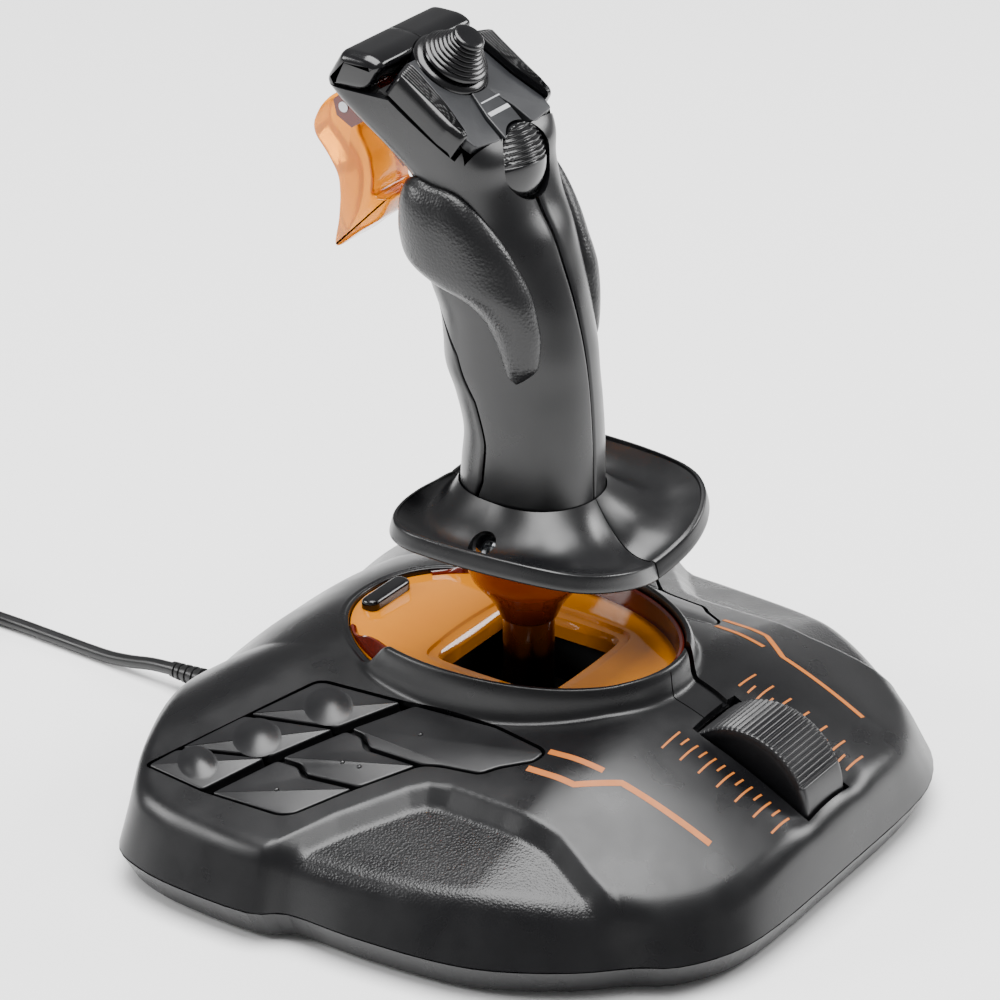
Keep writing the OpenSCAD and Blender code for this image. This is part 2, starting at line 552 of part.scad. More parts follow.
// Outline of the sloping plate: narrow beside the side buttons, winged beside the thumb button
plate_outline = [[-14, 0.2], [14, 0.2], [14, 23.9], [17.4, 24.4], [18.4, 27.4], [16.8, 31.6], [-16.8, 31.6],
    [-18.4, 27.4], [-17.4, 24.4], [-14, 23.9]];
module hat_plate() color("#3a3b3e") difference() {
    on_slope() union() {
        translate([0, 0, -plate_t]) linear_extrude(plate_t) polygon(plate_outline);
        translate([0, hat_s, -plate_t]) cylinder(r = 11, h = plate_t + 0.6);
    }
    on_slope() translate([0, hat_s, -10]) cylinder(r = 6, h = 20);
    thumb_axis() translate([0, 0, -14]) cylinder(r = 11.2, h = 40);
}
module head_frame() color(satin) on_slope() {
    difference() {
        translate([-20.4, 0.5, -8.8]) cube([40.8, 24, 1.6]);
        translate([0, hat_s, -12]) cylinder(r = 5.2, h = 10);
        hat_pin_bore();
    }
    for (s = [-1, 1]) difference() {
        translate([s * 6.5 - 1, hat_s - 2, -9.6]) cube([2, 4, 4]);
        hat_pin_bore();
    }
    for (x = [-12, 12]) translate([x - 1.2, 15.6, -7.3]) cube([2.4, 4, 4.3]);
    for (x = [-17.4, 17.4]) translate([x - 2, 9, -7.3]) cube([4, 4, 1.9]);
}
module hat_pin_bore() translate([0, hat_s, hat_pivot]) rotate([0, 90, 0])
    cylinder(r = 0.85, h = 20, center = true);
module hat_axis() on_slope() translate([0, hat_s, 0]) children();
module hat_cross() color(steel) hat_axis() translate([0, 0, hat_pivot]) {
    rotate([0, 90, 0]) cylinder(r = 0.8, h = 14, center = true);
    rotate([90, 0, 0]) cylinder(r = 0.8, h = 6.4, center = true);
}
module hat_cap() color(satin) hat_axis() difference() {
    union() {
        rotate_extrude() polygon([[0, 2.5], [9.5, 2.5], [9.3, 3.4], [8.2, 4.6], [6.4, 6.6], [5.2, 8.4],
            [4.6, 10.6], [3.6, 11.2], [0, 11.3]]);
        translate([0, 0, -5.6]) cylinder(r = 3, h = 9);
        for (s = [-1, 1]) translate([-1.6, s * 2.6 - 0.8, -9]) cube([3.2, 1.6, 4]);
    }
    translate([0, 0, hat_pivot]) rotate([90, 0, 0]) cylinder(r = 0.85, h = 10, center = true);
}
module thumb_button() color(satin) thumb_axis() difference() {
    intersection() {
        translate([0, 0, -5]) cylinder(r = 10.2, h = 14);
        translate([0, 0, -9.6]) sphere(r = 14.6);
    }
    translate([0, 0, -6]) cylinder(r = 7, h = 5);
}
module head_button_half() on_slope() difference() {
    translate([14.4, 0.6, -4.2]) linear_extrude(6.4) polygon([[0, 0], [5.9, 1], [2.4, 23.4], [0, 22.6]]);
    translate([15.4, 9, -5]) cube([4, 4, 1.4]);
}
module head_button_right() color(satin) mirror([1, 0, 0]) head_button_half();
module head_button_left() color(satin) head_button_half();

// ---- trigger ----
trigger_y = 52.5;
trigger_z = 201.5;
trigger_profile = [
    [49.4, 201], [51, 204.4], [54.5, 205.2], [59.3, 202.4], [62.9, 198.7], [65.5, 193.4], [64.9, 189.9],
    [60.5, 184.9], [57.2, 179.7], [56.8, 173.8], [57.5, 166.3], [59.1, 159.3], [58.1, 157.8],
    [51.4, 163.6], [43, 169.8], [39.5, 177], [45.6, 176.1], [44.8, 181.3], [46, 188.8], [50, 195.5]];
module across(w) rotate([90, 0, 90]) linear_extrude(w, center = true) children();
module trigger() color(amber) difference() {
    across(trigger_w) polygon(trigger_profile);
    translate([0, trigger_y, trigger_z]) rotate([0, 90, 0]) cylinder(r = 1.55, h = 40, center = true);
}
module trigger_pin() color(steel) translate([0, trigger_y, trigger_z]) rotate([0, 90, 0])
    cylinder(r = 1.5, h = trigger_w + 5.4, center = true);
bracket_profile = [[31.4, 189.8], [33, 188.6], [50.6, 205.8], [49, 208.2]];
module trigger_bracket() color("#3a1208") difference() {
    union() {
        across(trigger_w + 5) polygon(bracket_profile);
        for (s = [-1, 1]) translate([s * (trigger_w / 2 + 1.4), 0, 0])
            across(2) polygon([[44, 200], [50, 196], [55, 198.6], [56, 203], [50, 208]]);
    }
    translate([0, 0, -4]) across(trigger_w + 0.6) polygon([[44.6, 196], [70, 170], [70, 214], [50, 212]]);
    translate([0, trigger_y, trigger_z]) rotate([0, 90, 0]) cylinder(r = 1.5, h = 40, center = true);
}

base_tray();
top_shell();
rubber_feet();
base_screws();
ballast_plate();
light_disc();
disc_clip();
gimbal_housing();
pitch_spring();
circuit_board();
led_ring();
throttle_axle();
throttle_pot();
button_frame_left();
button_frame_right();
button_boards();
strain_relief();
cable_tube();
cable_coil();
cable_tie();
usb_plug();
gimbal_ring();
roll_spring();
stick_shaft();
shaft_bell();
twist_bushing();
twist_sensor();
hand_rest_left();
hand_rest_right();
grip_left_shell();
grip_right_shell();
grip_spine();
thumb_rest();
palm_rest();
grip_screws();
head_cap_left();
head_cap_right();
hat_plate();
head_frame();
trigger_bracket();
trigger_pin();
trigger();
hat_cross();
hat_cap();
thumb_button();
head_button_left();
head_button_right();
throttle_wheel();
button_left_1();
button_left_2();
button_left_3();
button_left_4();
button_left_5();
button_left_6();
button_right_1();
button_right_2();
button_right_3();
button_right_4();
button_right_5();
button_right_6();
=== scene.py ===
"""Desk flight joystick: every visible surface, finish, light and the camera.

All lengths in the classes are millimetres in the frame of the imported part: X to the user's
right, Y away from the user, Z up from the desk. Meshes are scaled to metres when they are made.
"""

from __future__ import annotations

import logging
import math
from dataclasses import dataclass, field
from enum import Enum
from typing import Any, Sequence

import bpy
import numpy as np
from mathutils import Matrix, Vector


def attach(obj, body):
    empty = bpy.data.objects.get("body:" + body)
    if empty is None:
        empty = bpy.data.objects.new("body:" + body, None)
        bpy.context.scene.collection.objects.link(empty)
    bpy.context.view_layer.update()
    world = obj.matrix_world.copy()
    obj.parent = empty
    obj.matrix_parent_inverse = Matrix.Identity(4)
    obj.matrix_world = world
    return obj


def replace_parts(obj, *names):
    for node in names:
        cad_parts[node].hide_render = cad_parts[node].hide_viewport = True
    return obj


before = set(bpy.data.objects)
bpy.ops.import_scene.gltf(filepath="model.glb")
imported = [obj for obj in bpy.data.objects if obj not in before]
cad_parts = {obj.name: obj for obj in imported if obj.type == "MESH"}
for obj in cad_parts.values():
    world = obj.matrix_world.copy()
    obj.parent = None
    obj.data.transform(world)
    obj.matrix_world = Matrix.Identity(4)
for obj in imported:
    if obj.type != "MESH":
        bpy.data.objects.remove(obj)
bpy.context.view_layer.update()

MM = 0.001
log = logging.getLogger("joystick")
Array = np.ndarray


# ---------------------------------------------------------------- surfaces


def hex_colour(code: str) -> tuple[float, float, float, float]:
    """Turn an sRGB hex colour into linear RGBA.

    Args:
        code: Six hex digits with a leading hash.

    Returns:
        Linear red, green, blue and an alpha of 1.
    """
    raw = [int(code[i : i + 2], 16) / 255 for i in (1, 3, 5)]
    lin = [c / 12.92 if c <= 0.04045 else ((c + 0.055) / 1.055) ** 2.4 for c in raw]
    return lin[0], lin[1], lin[2], 1.0


@dataclass
class Surface:
    """A closed surface in millimetres: points, four-sided faces and many-sided end faces."""

    points: Array
    quads: Array
    caps: list[list[int]] = field(default_factory=list)

    def volume(self) -> float:
        """Signed volume: one sixth of the sum of a . (b x c) over the faces cut into triangles."""
        p, q = self.points, self.quads
        total = 0.0
        if len(q):
            a, b, c, d = (p[q[:, i]] for i in range(4))
            total += np.einsum("ij,ij->", a, np.cross(b, c)) + np.einsum("ij,ij->", a, np.cross(c, d))
        for cap in self.caps:
            f = p[np.array(cap)]
            total += float(np.einsum("ij,ij->", np.repeat(f[:1], len(f) - 2, 0), np.cross(f[1:-1], f[2:])))
        return total / 6

    def outward(self) -> Surface:
        """The same surface with its faces pointing outwards."""
        if self.volume() >= 0:
            return self
        return Surface(self.points, self.quads[:, ::-1], [c[::-1] for c in self.caps])

    def placed(self, frame4: Array) -> Surface:
        """The surface carried from a local frame to the part's frame by a 4 by 4 matrix."""
        return Surface(self.points @ frame4[:3, :3].T + frame4[:3, 3], self.quads, self.caps).outward()

    def mirrored(self) -> Surface:
        """The surface mirrored from the left of the part to the right."""
        return Surface(self.points * [-1, 1, 1], self.quads, self.caps).outward()


def joined(parts: Sequence[Surface]) -> Surface:
    """Put several closed surfaces into one.

    Args:
        parts: The surfaces, each already closed.

    Returns:
        One surface that holds them all, faces outwards.
    """
    starts = np.cumsum([0] + [len(s.points) for s in parts])
    faced = [s.outward() for s in parts]
    quads = np.vstack([s.quads + n for s, n in zip(faced, starts)])
    caps = [[i + int(n) for i in c] for s, n in zip(faced, starts) for c in s.caps]
    return Surface(np.vstack([s.points for s in faced]), quads, caps)


def loft(loops: Array, ring: bool = False) -> Surface:
    """Skin a row of closed loops; point j of a loop joins point j of the next one.

    Args:
        loops: Array of loops, points, 3.
        ring: True if the last loop joins the first; otherwise both ends get a flat face.

    Returns:
        The closed surface.
    """
    n, m, _ = loops.shape
    rows = np.arange(n if ring else n - 1)[:, None]
    cols = np.arange(m)[None, :]
    nxt, right = (rows + 1) % n, (cols + 1) % m
    quads = np.stack(
        [rows * m + cols, rows * m + right, nxt * m + right, nxt * m + cols], -1
    ).reshape(-1, 4)
    caps = [] if ring else [list(range(m))[::-1], list(range((n - 1) * m, n * m))]
    return Surface(loops.reshape(-1, 3), quads, caps).outward()


def smooth_curve(knots: Array, steps: int) -> Array:
    """Carry a smooth line through knots: on each span the cubic whose slopes are half the chord
    between the two neighbours of a knot.

    Args:
        knots: Rows of values, one row a knot.
        steps: Points on each span.

    Returns:
        Rows of the smooth line, with the last knot at the end.
    """
    k = np.asarray(knots, float)
    padded = np.vstack([2 * k[0] - k[1], k, 2 * k[-1] - k[-2]])
    p, q, r, s = (padded[i : len(k) - 1 + i][:, None, :] for i in range(4))
    t = (np.arange(steps) / steps)[None, :, None]
    line = 0.5 * (2 * q + (r - p) * t + (2 * p - 5 * q + 4 * r - s) * t**2 + (3 * q - p - 3 * r + s) * t**3)
    return np.vstack([line.reshape(-1, k.shape[1]), k[-1]])


def rounded(corners: Sequence[Sequence[float]], radius: float, steps: int = 5) -> Array:
    """Round the corners of an outline: each corner becomes the parabola between the points a
    radius before and after it, or nearly half an edge where the edge is short.

    Args:
        corners: Corner points of a closed outline.
        radius: Distance from the corner at which the rounding starts.
        steps: Points on each corner.

    Returns:
        The outline, counter-clockwise.
    """
    c = np.asarray(corners, float)
    area = np.sum(c[:, 0] * np.roll(c[:, 1], -1) - np.roll(c[:, 0], -1) * c[:, 1])
    if area < 0:
        c = c[::-1]
    before, after = np.roll(c, 1, 0) - c, np.roll(c, -1, 0) - c
    lb, la = np.linalg.norm(before, axis=1, keepdims=True), np.linalg.norm(after, axis=1, keepdims=True)
    a = c + before / lb * np.minimum(radius, 0.46 * lb)
    b = c + after / la * np.minimum(radius, 0.46 * la)
    t = np.linspace(0, 1, steps)[None, :, None]
    arc = a[:, None] * (1 - t) ** 2 + c[:, None] * 2 * t * (1 - t) + b[:, None] * t**2
    return arc.reshape(-1, 2)


def inset(outline: Array, by: float) -> Array:
    """Move each edge of a counter-clockwise outline inwards and meet the moved edges again."""
    e = np.roll(outline, -1, 0) - outline
    e = e / np.maximum(np.linalg.norm(e, axis=1, keepdims=True), 1e-9)
    n = np.stack([-e[:, 1], e[:, 0]], 1)
    p = np.roll(n, 1, 0)
    meet = (n + p) / np.maximum(1 + np.sum(n * p, 1, keepdims=True), 0.35)
    return outline + by * meet


def slab(outline: Array, layers: Sequence[tuple[float, float]]) -> Surface:
    """Stack an outline in layers.

    Args:
        outline: Closed outline in the plane of the slab.
        layers: Height and inset of each layer, from the bottom up.

    Returns:
        The closed slab.
    """
    loops = [np.column_stack([inset(outline, i), np.full(len(outline), z)]) for z, i in layers]
    return loft(np.array(loops))


def eased(z0: float, z1: float, low: float, high: float, steps: int = 5) -> list[tuple[float, float]]:
    """Layers of a slab from z0 to z1 whose bottom and top edges are quarter rounds."""
    q = np.linspace(0, math.pi / 2, steps)
    bottom = [(z0 + low * (1 - math.sin(a)), low * (1 - math.cos(a))) for a in q[::-1]]
    top = [(z1 - high * (1 - math.sin(a)), high * (1 - math.cos(a))) for a in q]
    return ([(z0, 0.0)] if low <= 0 else bottom) + ([(z1, 0.0)] if high <= 0 else top)


def turned(profile: Array, count: int = 96) -> Surface:
    """Turn a profile of radius and height about the Z axis; radii at the ends close flat."""
    p = np.asarray(profile, float)
    a = np.linspace(0, 2 * math.pi, count, endpoint=False)
    r = np.maximum(p[:, :1], 0.02)
    loops = np.stack([r * np.cos(a), r * np.sin(a), np.repeat(p[:, 1:2], count, 1)], -1)
    return loft(loops)


def along(path: Array, section: Array) -> Surface:
    """Carry a flat section along a path: its first axis stays level and across the path, its
    second stands up from both.

    Args:
        path: Points of the path.
        section: Closed section, two values a point.

    Returns:
        The closed bar.
    """
    d = np.gradient(path, axis=0)
    d /= np.linalg.norm(d, axis=1, keepdims=True)
    side = np.cross(d, [0.0, 0.0, 1.0])
    side /= np.maximum(np.linalg.norm(side, axis=1, keepdims=True), 1e-9)
    up = np.cross(side, d)
    return loft(path[:, None] + side[:, None] * section[None, :, :1] + up[:, None] * section[None, :, 1:2])


def axes(origin: Sequence[float], x: Sequence[float], y: Sequence[float], z: Sequence[float]) -> Array:
    """A 4 by 4 frame from its origin and three axes."""
    m = np.eye(4)
    m[:3, 0], m[:3, 1], m[:3, 2], m[:3, 3] = x, y, z, origin
    return m


def step01(x: Array) -> Array:
    """Smooth step from 0 to 1 over 0 to 1."""
    t = np.clip(x, 0, 1)
    return t * t * (3 - 2 * t)


def depth_inside(points: Array, outline: Array) -> Array:
    """Distance of plan points inside an outline, negative outside.

    The distance is the least to any edge; its sign comes from counting the edges to the right.
    """
    a, b = outline, np.roll(outline, -1, 0)
    e, w = (b - a)[None], points[:, None] - a[None]
    t = np.clip(np.sum(w * e, -1) / np.sum(e * e, -1), 0, 1)
    near = np.linalg.norm(w - e * t[..., None], axis=-1).min(1)
    spans = (a[None, :, 1] > points[:, None, 1]) != (b[None, :, 1] > points[:, None, 1])
    safe = np.where(np.abs(e[..., 1]) < 1e-9, 1e-9, e[..., 1])
    cross_x = a[None, :, 0] + (points[:, None, 1] - a[None, :, 1]) / safe * e[..., 0]
    inside = np.sum(spans & (points[:, None, 0] < cross_x), 1) % 2 == 1
    return np.where(inside, near, -near)


# ---------------------------------------------------------------- finishes


def add_node(
    tree: bpy.types.NodeTree, kind: str, settings: dict[str, Any] | None = None, **sockets: Any
) -> bpy.types.Node:
    """Add one shader node.

    Args:
        tree: The node tree.
        kind: Blender's name of the node type.
        settings: Properties of the node.
        **sockets: Inputs by name, with _ for a space; a socket is linked, anything else is set.

    Returns:
        The node.
    """
    node = tree.nodes.new(kind)
    for key, value in (settings or {}).items():
        setattr(node, key, value)
    for key, value in sockets.items():
        name = key.replace("_", " ")
        target = node.inputs[int(key[1:])] if key[0] == "i" and key[1:].isdigit() else node.inputs[name]
        if isinstance(value, bpy.types.NodeSocket):
            tree.links.new(value, target)
        else:
            target.default_value = value
    return node


class Grain(Enum):
    """How the mould or tool left the surface."""

    POLISHED = "polished"
    SPARK = "spark eroded"
    PEBBLE = "pebbled"
    BRUSHED = "brushed"


@dataclass(frozen=True)
class Finish:
    """A material by what it is made of and how its surface was made.

    Attributes:
        name: Name of the real material and its making.
        colour: Main sRGB colour.
        second: Colour that the main one drifts towards.
        roughness: Middle roughness.
        spread: How far the roughness drifts either way.
        grain: Kind of surface.
        grain_mm: Size of one grain.
        relief_mm: Height of the grain.
        drift_mm: Size of the patches in which colour and roughness drift.
        metallic: 1 for metal.
        ior: Index of refraction.
        clear: Share of light that passes through.
        coat: Strength of a glossy skin.
        mask: Mesh attribute that says where pebbles replace the grain.
        fade: Lower height, upper height in mm and the colour at the lower one; painted shade, darker towards
            the bottom.
        shine: Specular level, 0.5 for the full reflection of its index.
    """

    name: str
    colour: str
    second: str
    roughness: float
    spread: float
    grain: Grain
    grain_mm: float
    relief_mm: float
    drift_mm: float = 14.0
    metallic: float = 0.0
    ior: float = 1.5
    clear: float = 0.0
    coat: float = 0.0
    mask: str = ""
    fade: tuple[float, float, str] | None = None
    shine: float = 0.5

    def _relief(
        self, tree: bpy.types.NodeTree, spot: bpy.types.NodeSocket, grain: Grain, size: float
    ) -> bpy.types.NodeSocket:
        """Height of the grain: noise for spark and polish, round cells for pebbles, long streaks for
        brushing."""
        if grain is Grain.PEBBLE:
            cells = add_node(
                tree, "ShaderNodeTexVoronoi", {"feature": "SMOOTH_F1"}, Vector=spot, Scale=1 / (size * MM),
                Smoothness=0.35
            )
            flip = add_node(
                tree, "ShaderNodeMapRange", From_Min=0.0, From_Max=0.75, To_Min=1.0, To_Max=0.0,
                Value=cells.outputs["Distance"]
            )
            return flip.outputs[0]
        if grain is Grain.BRUSHED:
            spot = add_node(tree, "ShaderNodeMapping", Vector=spot, Scale=(1.0, 0.05, 1.0)).outputs[0]
        noise = add_node(
            tree, "ShaderNodeTexNoise", Vector=spot, Scale=1 / (size * MM), Detail=2.0, Roughness=0.6
        )
        return noise.outputs["Fac"]

    def build(self) -> bpy.types.Material:
        """The material, made once and reused."""
        ready = bpy.data.materials.get(self.name)
        if ready:
            return ready
        material = bpy.data.materials.new(self.name)
        material.use_nodes = True
        tree = material.node_tree
        tree.nodes.clear()
        spot = add_node(tree, "ShaderNodeTexCoord").outputs["Object"]
        drift = add_node(
            tree, "ShaderNodeTexNoise", Vector=spot, Scale=1 / (self.drift_mm * MM), Detail=3.0
        ).outputs["Fac"]
        tint = add_node(
            tree, "ShaderNodeMix", {"data_type": "RGBA"}, i0=drift, i6=hex_colour(self.colour),
            i7=hex_colour(self.second)
        )
        colour = tint.outputs[2]
        # Painted shade: the colour darkens towards the lower height of the fade.
        if self.fade:
            height = add_node(tree, "ShaderNodeSeparateXYZ", Vector=spot).outputs["Z"]
            share = add_node(
                tree, "ShaderNodeMapRange", Value=height, From_Min=self.fade[0] * MM,
                From_Max=self.fade[1] * MM
            )
            colour = add_node(
                tree, "ShaderNodeMix", {"data_type": "RGBA"}, i0=share.outputs[0],
                i6=hex_colour(self.fade[2]), i7=colour
            ).outputs[2]
        rough = add_node(
            tree, "ShaderNodeMapRange", Value=drift, From_Min=0.3, From_Max=0.7,
            To_Min=max(0.02, self.roughness - self.spread), To_Max=self.roughness + self.spread,
        )
        relief = self._relief(tree, spot, self.grain, self.grain_mm)
        bump = add_node(tree, "ShaderNodeBump", Height=relief, Distance=self.relief_mm * MM, Strength=0.8)
        if self.mask:
            where = add_node(tree, "ShaderNodeAttribute", {"attribute_name": self.mask})
            pebbles = self._relief(tree, spot, Grain.PEBBLE, 0.7)
            bump = add_node(
                tree, "ShaderNodeBump", Height=pebbles, Distance=0.05 * MM, Strength=where.outputs["Fac"],
                Normal=bump.outputs[0]
            )
        shader = add_node(
            tree, "ShaderNodeBsdfPrincipled", Base_Color=colour, Roughness=rough.outputs[0],
            Normal=bump.outputs[0], Metallic=self.metallic, IOR=self.ior, Transmission_Weight=self.clear,
            Coat_Weight=self.coat, Coat_Roughness=0.12, Specular_IOR_Level=self.shine,
        )
        out = add_node(tree, "ShaderNodeOutputMaterial")
        tree.links.new(shader.outputs[0], out.inputs["Surface"])
        return material


# ABS moulded in a spark-eroded tool: nearly black, an even dull sheen with a faint sparkle of fine
# grain. The real grain is about 0.1 mm; it is drawn at 0.35 mm so that it shows.
DECK_ABS = Finish(
    "spark textured black ABS", "#08080a", "#0c0c0e", 0.30, 0.05, Grain.SPARK, 0.35, 0.03, mask="pebble",
    shine=0.42
)
# The same ABS from a smoother part of the tool: a longer, softer sheen on the grip's curves.
GRIP_ABS = Finish("satin black ABS", "#08080a", "#0b0b0d", 0.30, 0.05, Grain.SPARK, 0.4, 0.014)
# Polished mould face: sharp highlights on the head and the hat.
GLOSS_ABS = Finish("gloss black ABS", "#060608", "#0a0a0c", 0.19, 0.04, Grain.POLISHED, 0.8, 0.006)
# Caps moulded in a slightly greyer ABS with a fine etched face.
CAP_ABS = Finish("etched black ABS", "#0e0e10", "#121214", 0.34, 0.05, Grain.SPARK, 0.3, 0.02)
# Sloping plate of the head: a dark grey, flat, dry-looking face.
PLATE_ABS = Finish("dark grey etched ABS", "#1c1d1f", "#222326", 0.40, 0.05, Grain.SPARK, 0.35, 0.02)
# Soft-touch elastomer with a pebbled skin: broken bright spots on top of each pebble.
PAD_ELASTOMER = Finish(
    "pebbled soft touch elastomer", "#08080a", "#0c0c0e", 0.34, 0.05, Grain.PEBBLE, 0.8, 0.07
)
# Acetal for the sliding parts, straight from the mould.
ACETAL = Finish("moulded black acetal", "#141415", "#1c1c1d", 0.4, 0.06, Grain.SPARK, 0.5, 0.01)
# Clear polycarbonate tinted amber, polished: deep orange body with white reflections on its face.
AMBER_PC = Finish(
    "polished amber polycarbonate", "#d88000", "#e28c08", 0.09, 0.03, Grain.POLISHED, 6.0, 0.004, ior=1.58,
    clear=0.25
)
# The same resin painted brighter: painted backlight for the thick resin lit from behind.
AMBER_PC_PAINTED_BACKLIGHT = Finish(
    "clear amber polycarbonate, painted backlight", "#f59200", "#ffa012", 0.1, 0.03, Grain.POLISHED, 5.0, 0.006, ior=1.45,
    clear=0.55, shine=0.3
)
# Rim of the lamp ring: painted shade, the resin painted dark red-brown where it stands in shade.
AMBER_PC_PAINTED_SHADE = Finish(
    "amber polycarbonate, painted shade", "#5a1204", "#6e1c06", 0.1, 0.03, Grain.POLISHED, 6.0, 0.004, ior=1.58,
    clear=0.3
)
# Shaft moulding, brown at the top; painted shade darkens it to near black lower down, in the gate.
SHAFT_PC = Finish(
    "smoked amber polycarbonate, painted shade below", "#6a2404", "#7a3006", 0.16, 0.04, Grain.POLISHED, 6.0, 0.004, ior=1.5,
    fade=(46.0, 74.0, "#0a0403")
)
# Pad-printed ink: flat orange, a little dry, thinner towards the edges.
ORANGE_INK = Finish(
    "pad printed orange ink", "#b0600e", "#a0560e", 0.5, 0.06, Grain.SPARK, 0.25, 0.01, drift_mm=3.0
)
# Grey ink bars on the plate.
GREY_INK = Finish(
    "pad printed grey ink", "#a9aaac", "#9b9c9e", 0.5, 0.06, Grain.SPARK, 0.25, 0.01, drift_mm=3.0
)
# Zinc plate on turned steel: pale, faintly streaked.
ZINC_STEEL = Finish(
    "zinc plated steel", "#b4b6b8", "#9da0a3", 0.28, 0.08, Grain.BRUSHED, 0.4, 0.01, metallic=1.0
)
# Glass-epoxy board under green solder mask.
GREEN_BOARD = Finish(
    "green solder mask on glass epoxy", "#1f5a34", "#28683e", 0.3, 0.06, Grain.SPARK, 0.6, 0.02
)
# PVC jacket: soft, slightly waxy black.
CORD_PVC = Finish("black PVC jacket", "#0a0a0b", "#0e0e0f", 0.36, 0.05, Grain.SPARK, 0.5, 0.02)
# Foot pads cut from sheet rubber: dull, dusty black.
FOOT_RUBBER = Finish("matt black rubber", "#1c1c1c", "#262626", 0.75, 0.08, Grain.SPARK, 0.4, 0.04)
# Potentiometer case in blue thermoset.
BLUE_CASE = Finish("blue thermoset", "#1c4a6e", "#23557c", 0.4, 0.05, Grain.SPARK, 0.5, 0.02)


def make_piece(
    name: str, surface: Surface, finish: Finish, body: str, sharp: float = 38.0
) -> bpy.types.Object:
    """Make a Blender object from a surface, dress it and let it ride on a body.

    Args:
        name: Piece name.
        surface: Closed surface in millimetres.
        finish: Its finish.
        body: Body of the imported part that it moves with.
        sharp: Edges bent by more than this many degrees stay crisp.

    Returns:
        The object.
    """
    s = surface.outward()
    mesh = bpy.data.meshes.new(name)
    mesh.from_pydata((s.points * MM).tolist(), [], s.quads.tolist() + s.caps)
    mesh.materials.append(finish.build())
    piece = bpy.data.objects.new(name, mesh)
    bpy.context.scene.collection.objects.link(piece)
    shade(piece, sharp)
    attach(piece, body)
    log.info("%s: %d points on %s", name, len(s.points), body)
    return piece


def shade(piece: bpy.types.Object, sharp: float) -> None:
    """Shade a piece smoothly except across edges sharper than the angle in degrees."""
    piece.data.shade_smooth()
    piece.data.set_sharp_from_angle(angle=math.radians(sharp))


def cut(piece: bpy.types.Object, tools: Sequence[Surface], sharp: float = 38.0) -> None:
    """Cut closed tool shapes out of a piece and keep the result as its mesh.

    Args:
        piece: The piece to cut.
        tools: Shapes to take away.
        sharp: Shading angle afterwards.
    """
    held = []
    for i, tool in enumerate(tools):
        s = tool.outward()
        mesh = bpy.data.meshes.new(f"tool_{i}")
        mesh.from_pydata((s.points * MM).tolist(), [], s.quads.tolist() + s.caps)
        cutter = bpy.data.objects.new(f"tool_{i}", mesh)
        bpy.context.scene.collection.objects.link(cutter)
        held.append(cutter)
        step = piece.modifiers.new(f"cut_{i}", "BOOLEAN")
        step.operation, step.solver, step.object = "DIFFERENCE", "MANIFOLD", cutter
    bpy.context.view_layer.update()
    graph = bpy.context.evaluated_depsgraph_get()
    result = bpy.data.meshes.new_from_object(piece.evaluated_get(graph))
    piece.modifiers.clear()
    old = piece.data
    piece.data = result
    bpy.data.meshes.remove(old)
    for cutter in held:
        data = cutter.data
        bpy.data.objects.remove(cutter)
        bpy.data.meshes.remove(data)
    shade(piece, sharp)


def rect(x: tuple[float, float], y: tuple[float, float]) -> list[tuple[float, float]]:
    """Corners of a rectangle, counter-clockwise from its lowest x and y."""
    return [(x[0], y[0]), (x[1], y[0]), (x[1], y[1]), (x[0], y[1])]


def block(frame4: Array, x: tuple[float, float], y: tuple[float, float], z: tuple[float, float]) -> Surface:
    """A plain box in a local frame, used as a cutting tool."""
    return slab(np.array(rect(x, y)), [(z[0], 0), (z[1], 0)]).placed(frame4)


def bar(frame4: Array, radius: float, z: tuple[float, float], count: int = 96) -> Surface:
    """A plain round bar along a local Z axis, used as a cutting tool or a pin."""
    return turned(np.array([[radius, z[0]], [radius, z[1]]]), count).placed(frame4)


def spun(ring: Array, count: int = 120) -> Surface:
    """A closed profile of radius and height turned about Z."""
    a = np.linspace(0, 2 * math.pi, count, endpoint=False)
    x, y = np.outer(ring[:, 0], np.cos(a)), np.outer(ring[:, 0], np.sin(a))
    return loft(np.stack([x, y, np.repeat(ring[:, 1:], count, 1)], -1), ring=True)


class Side(Enum):
    """Left or right half of the part."""

    LEFT = "left"
    RIGHT = "right"

    def of(self, surface: Surface) -> Surface:
        """A surface made for the left, on this side."""
        return surface if self is Side.LEFT else surface.mirrored()


# ---------------------------------------------------------------- the base


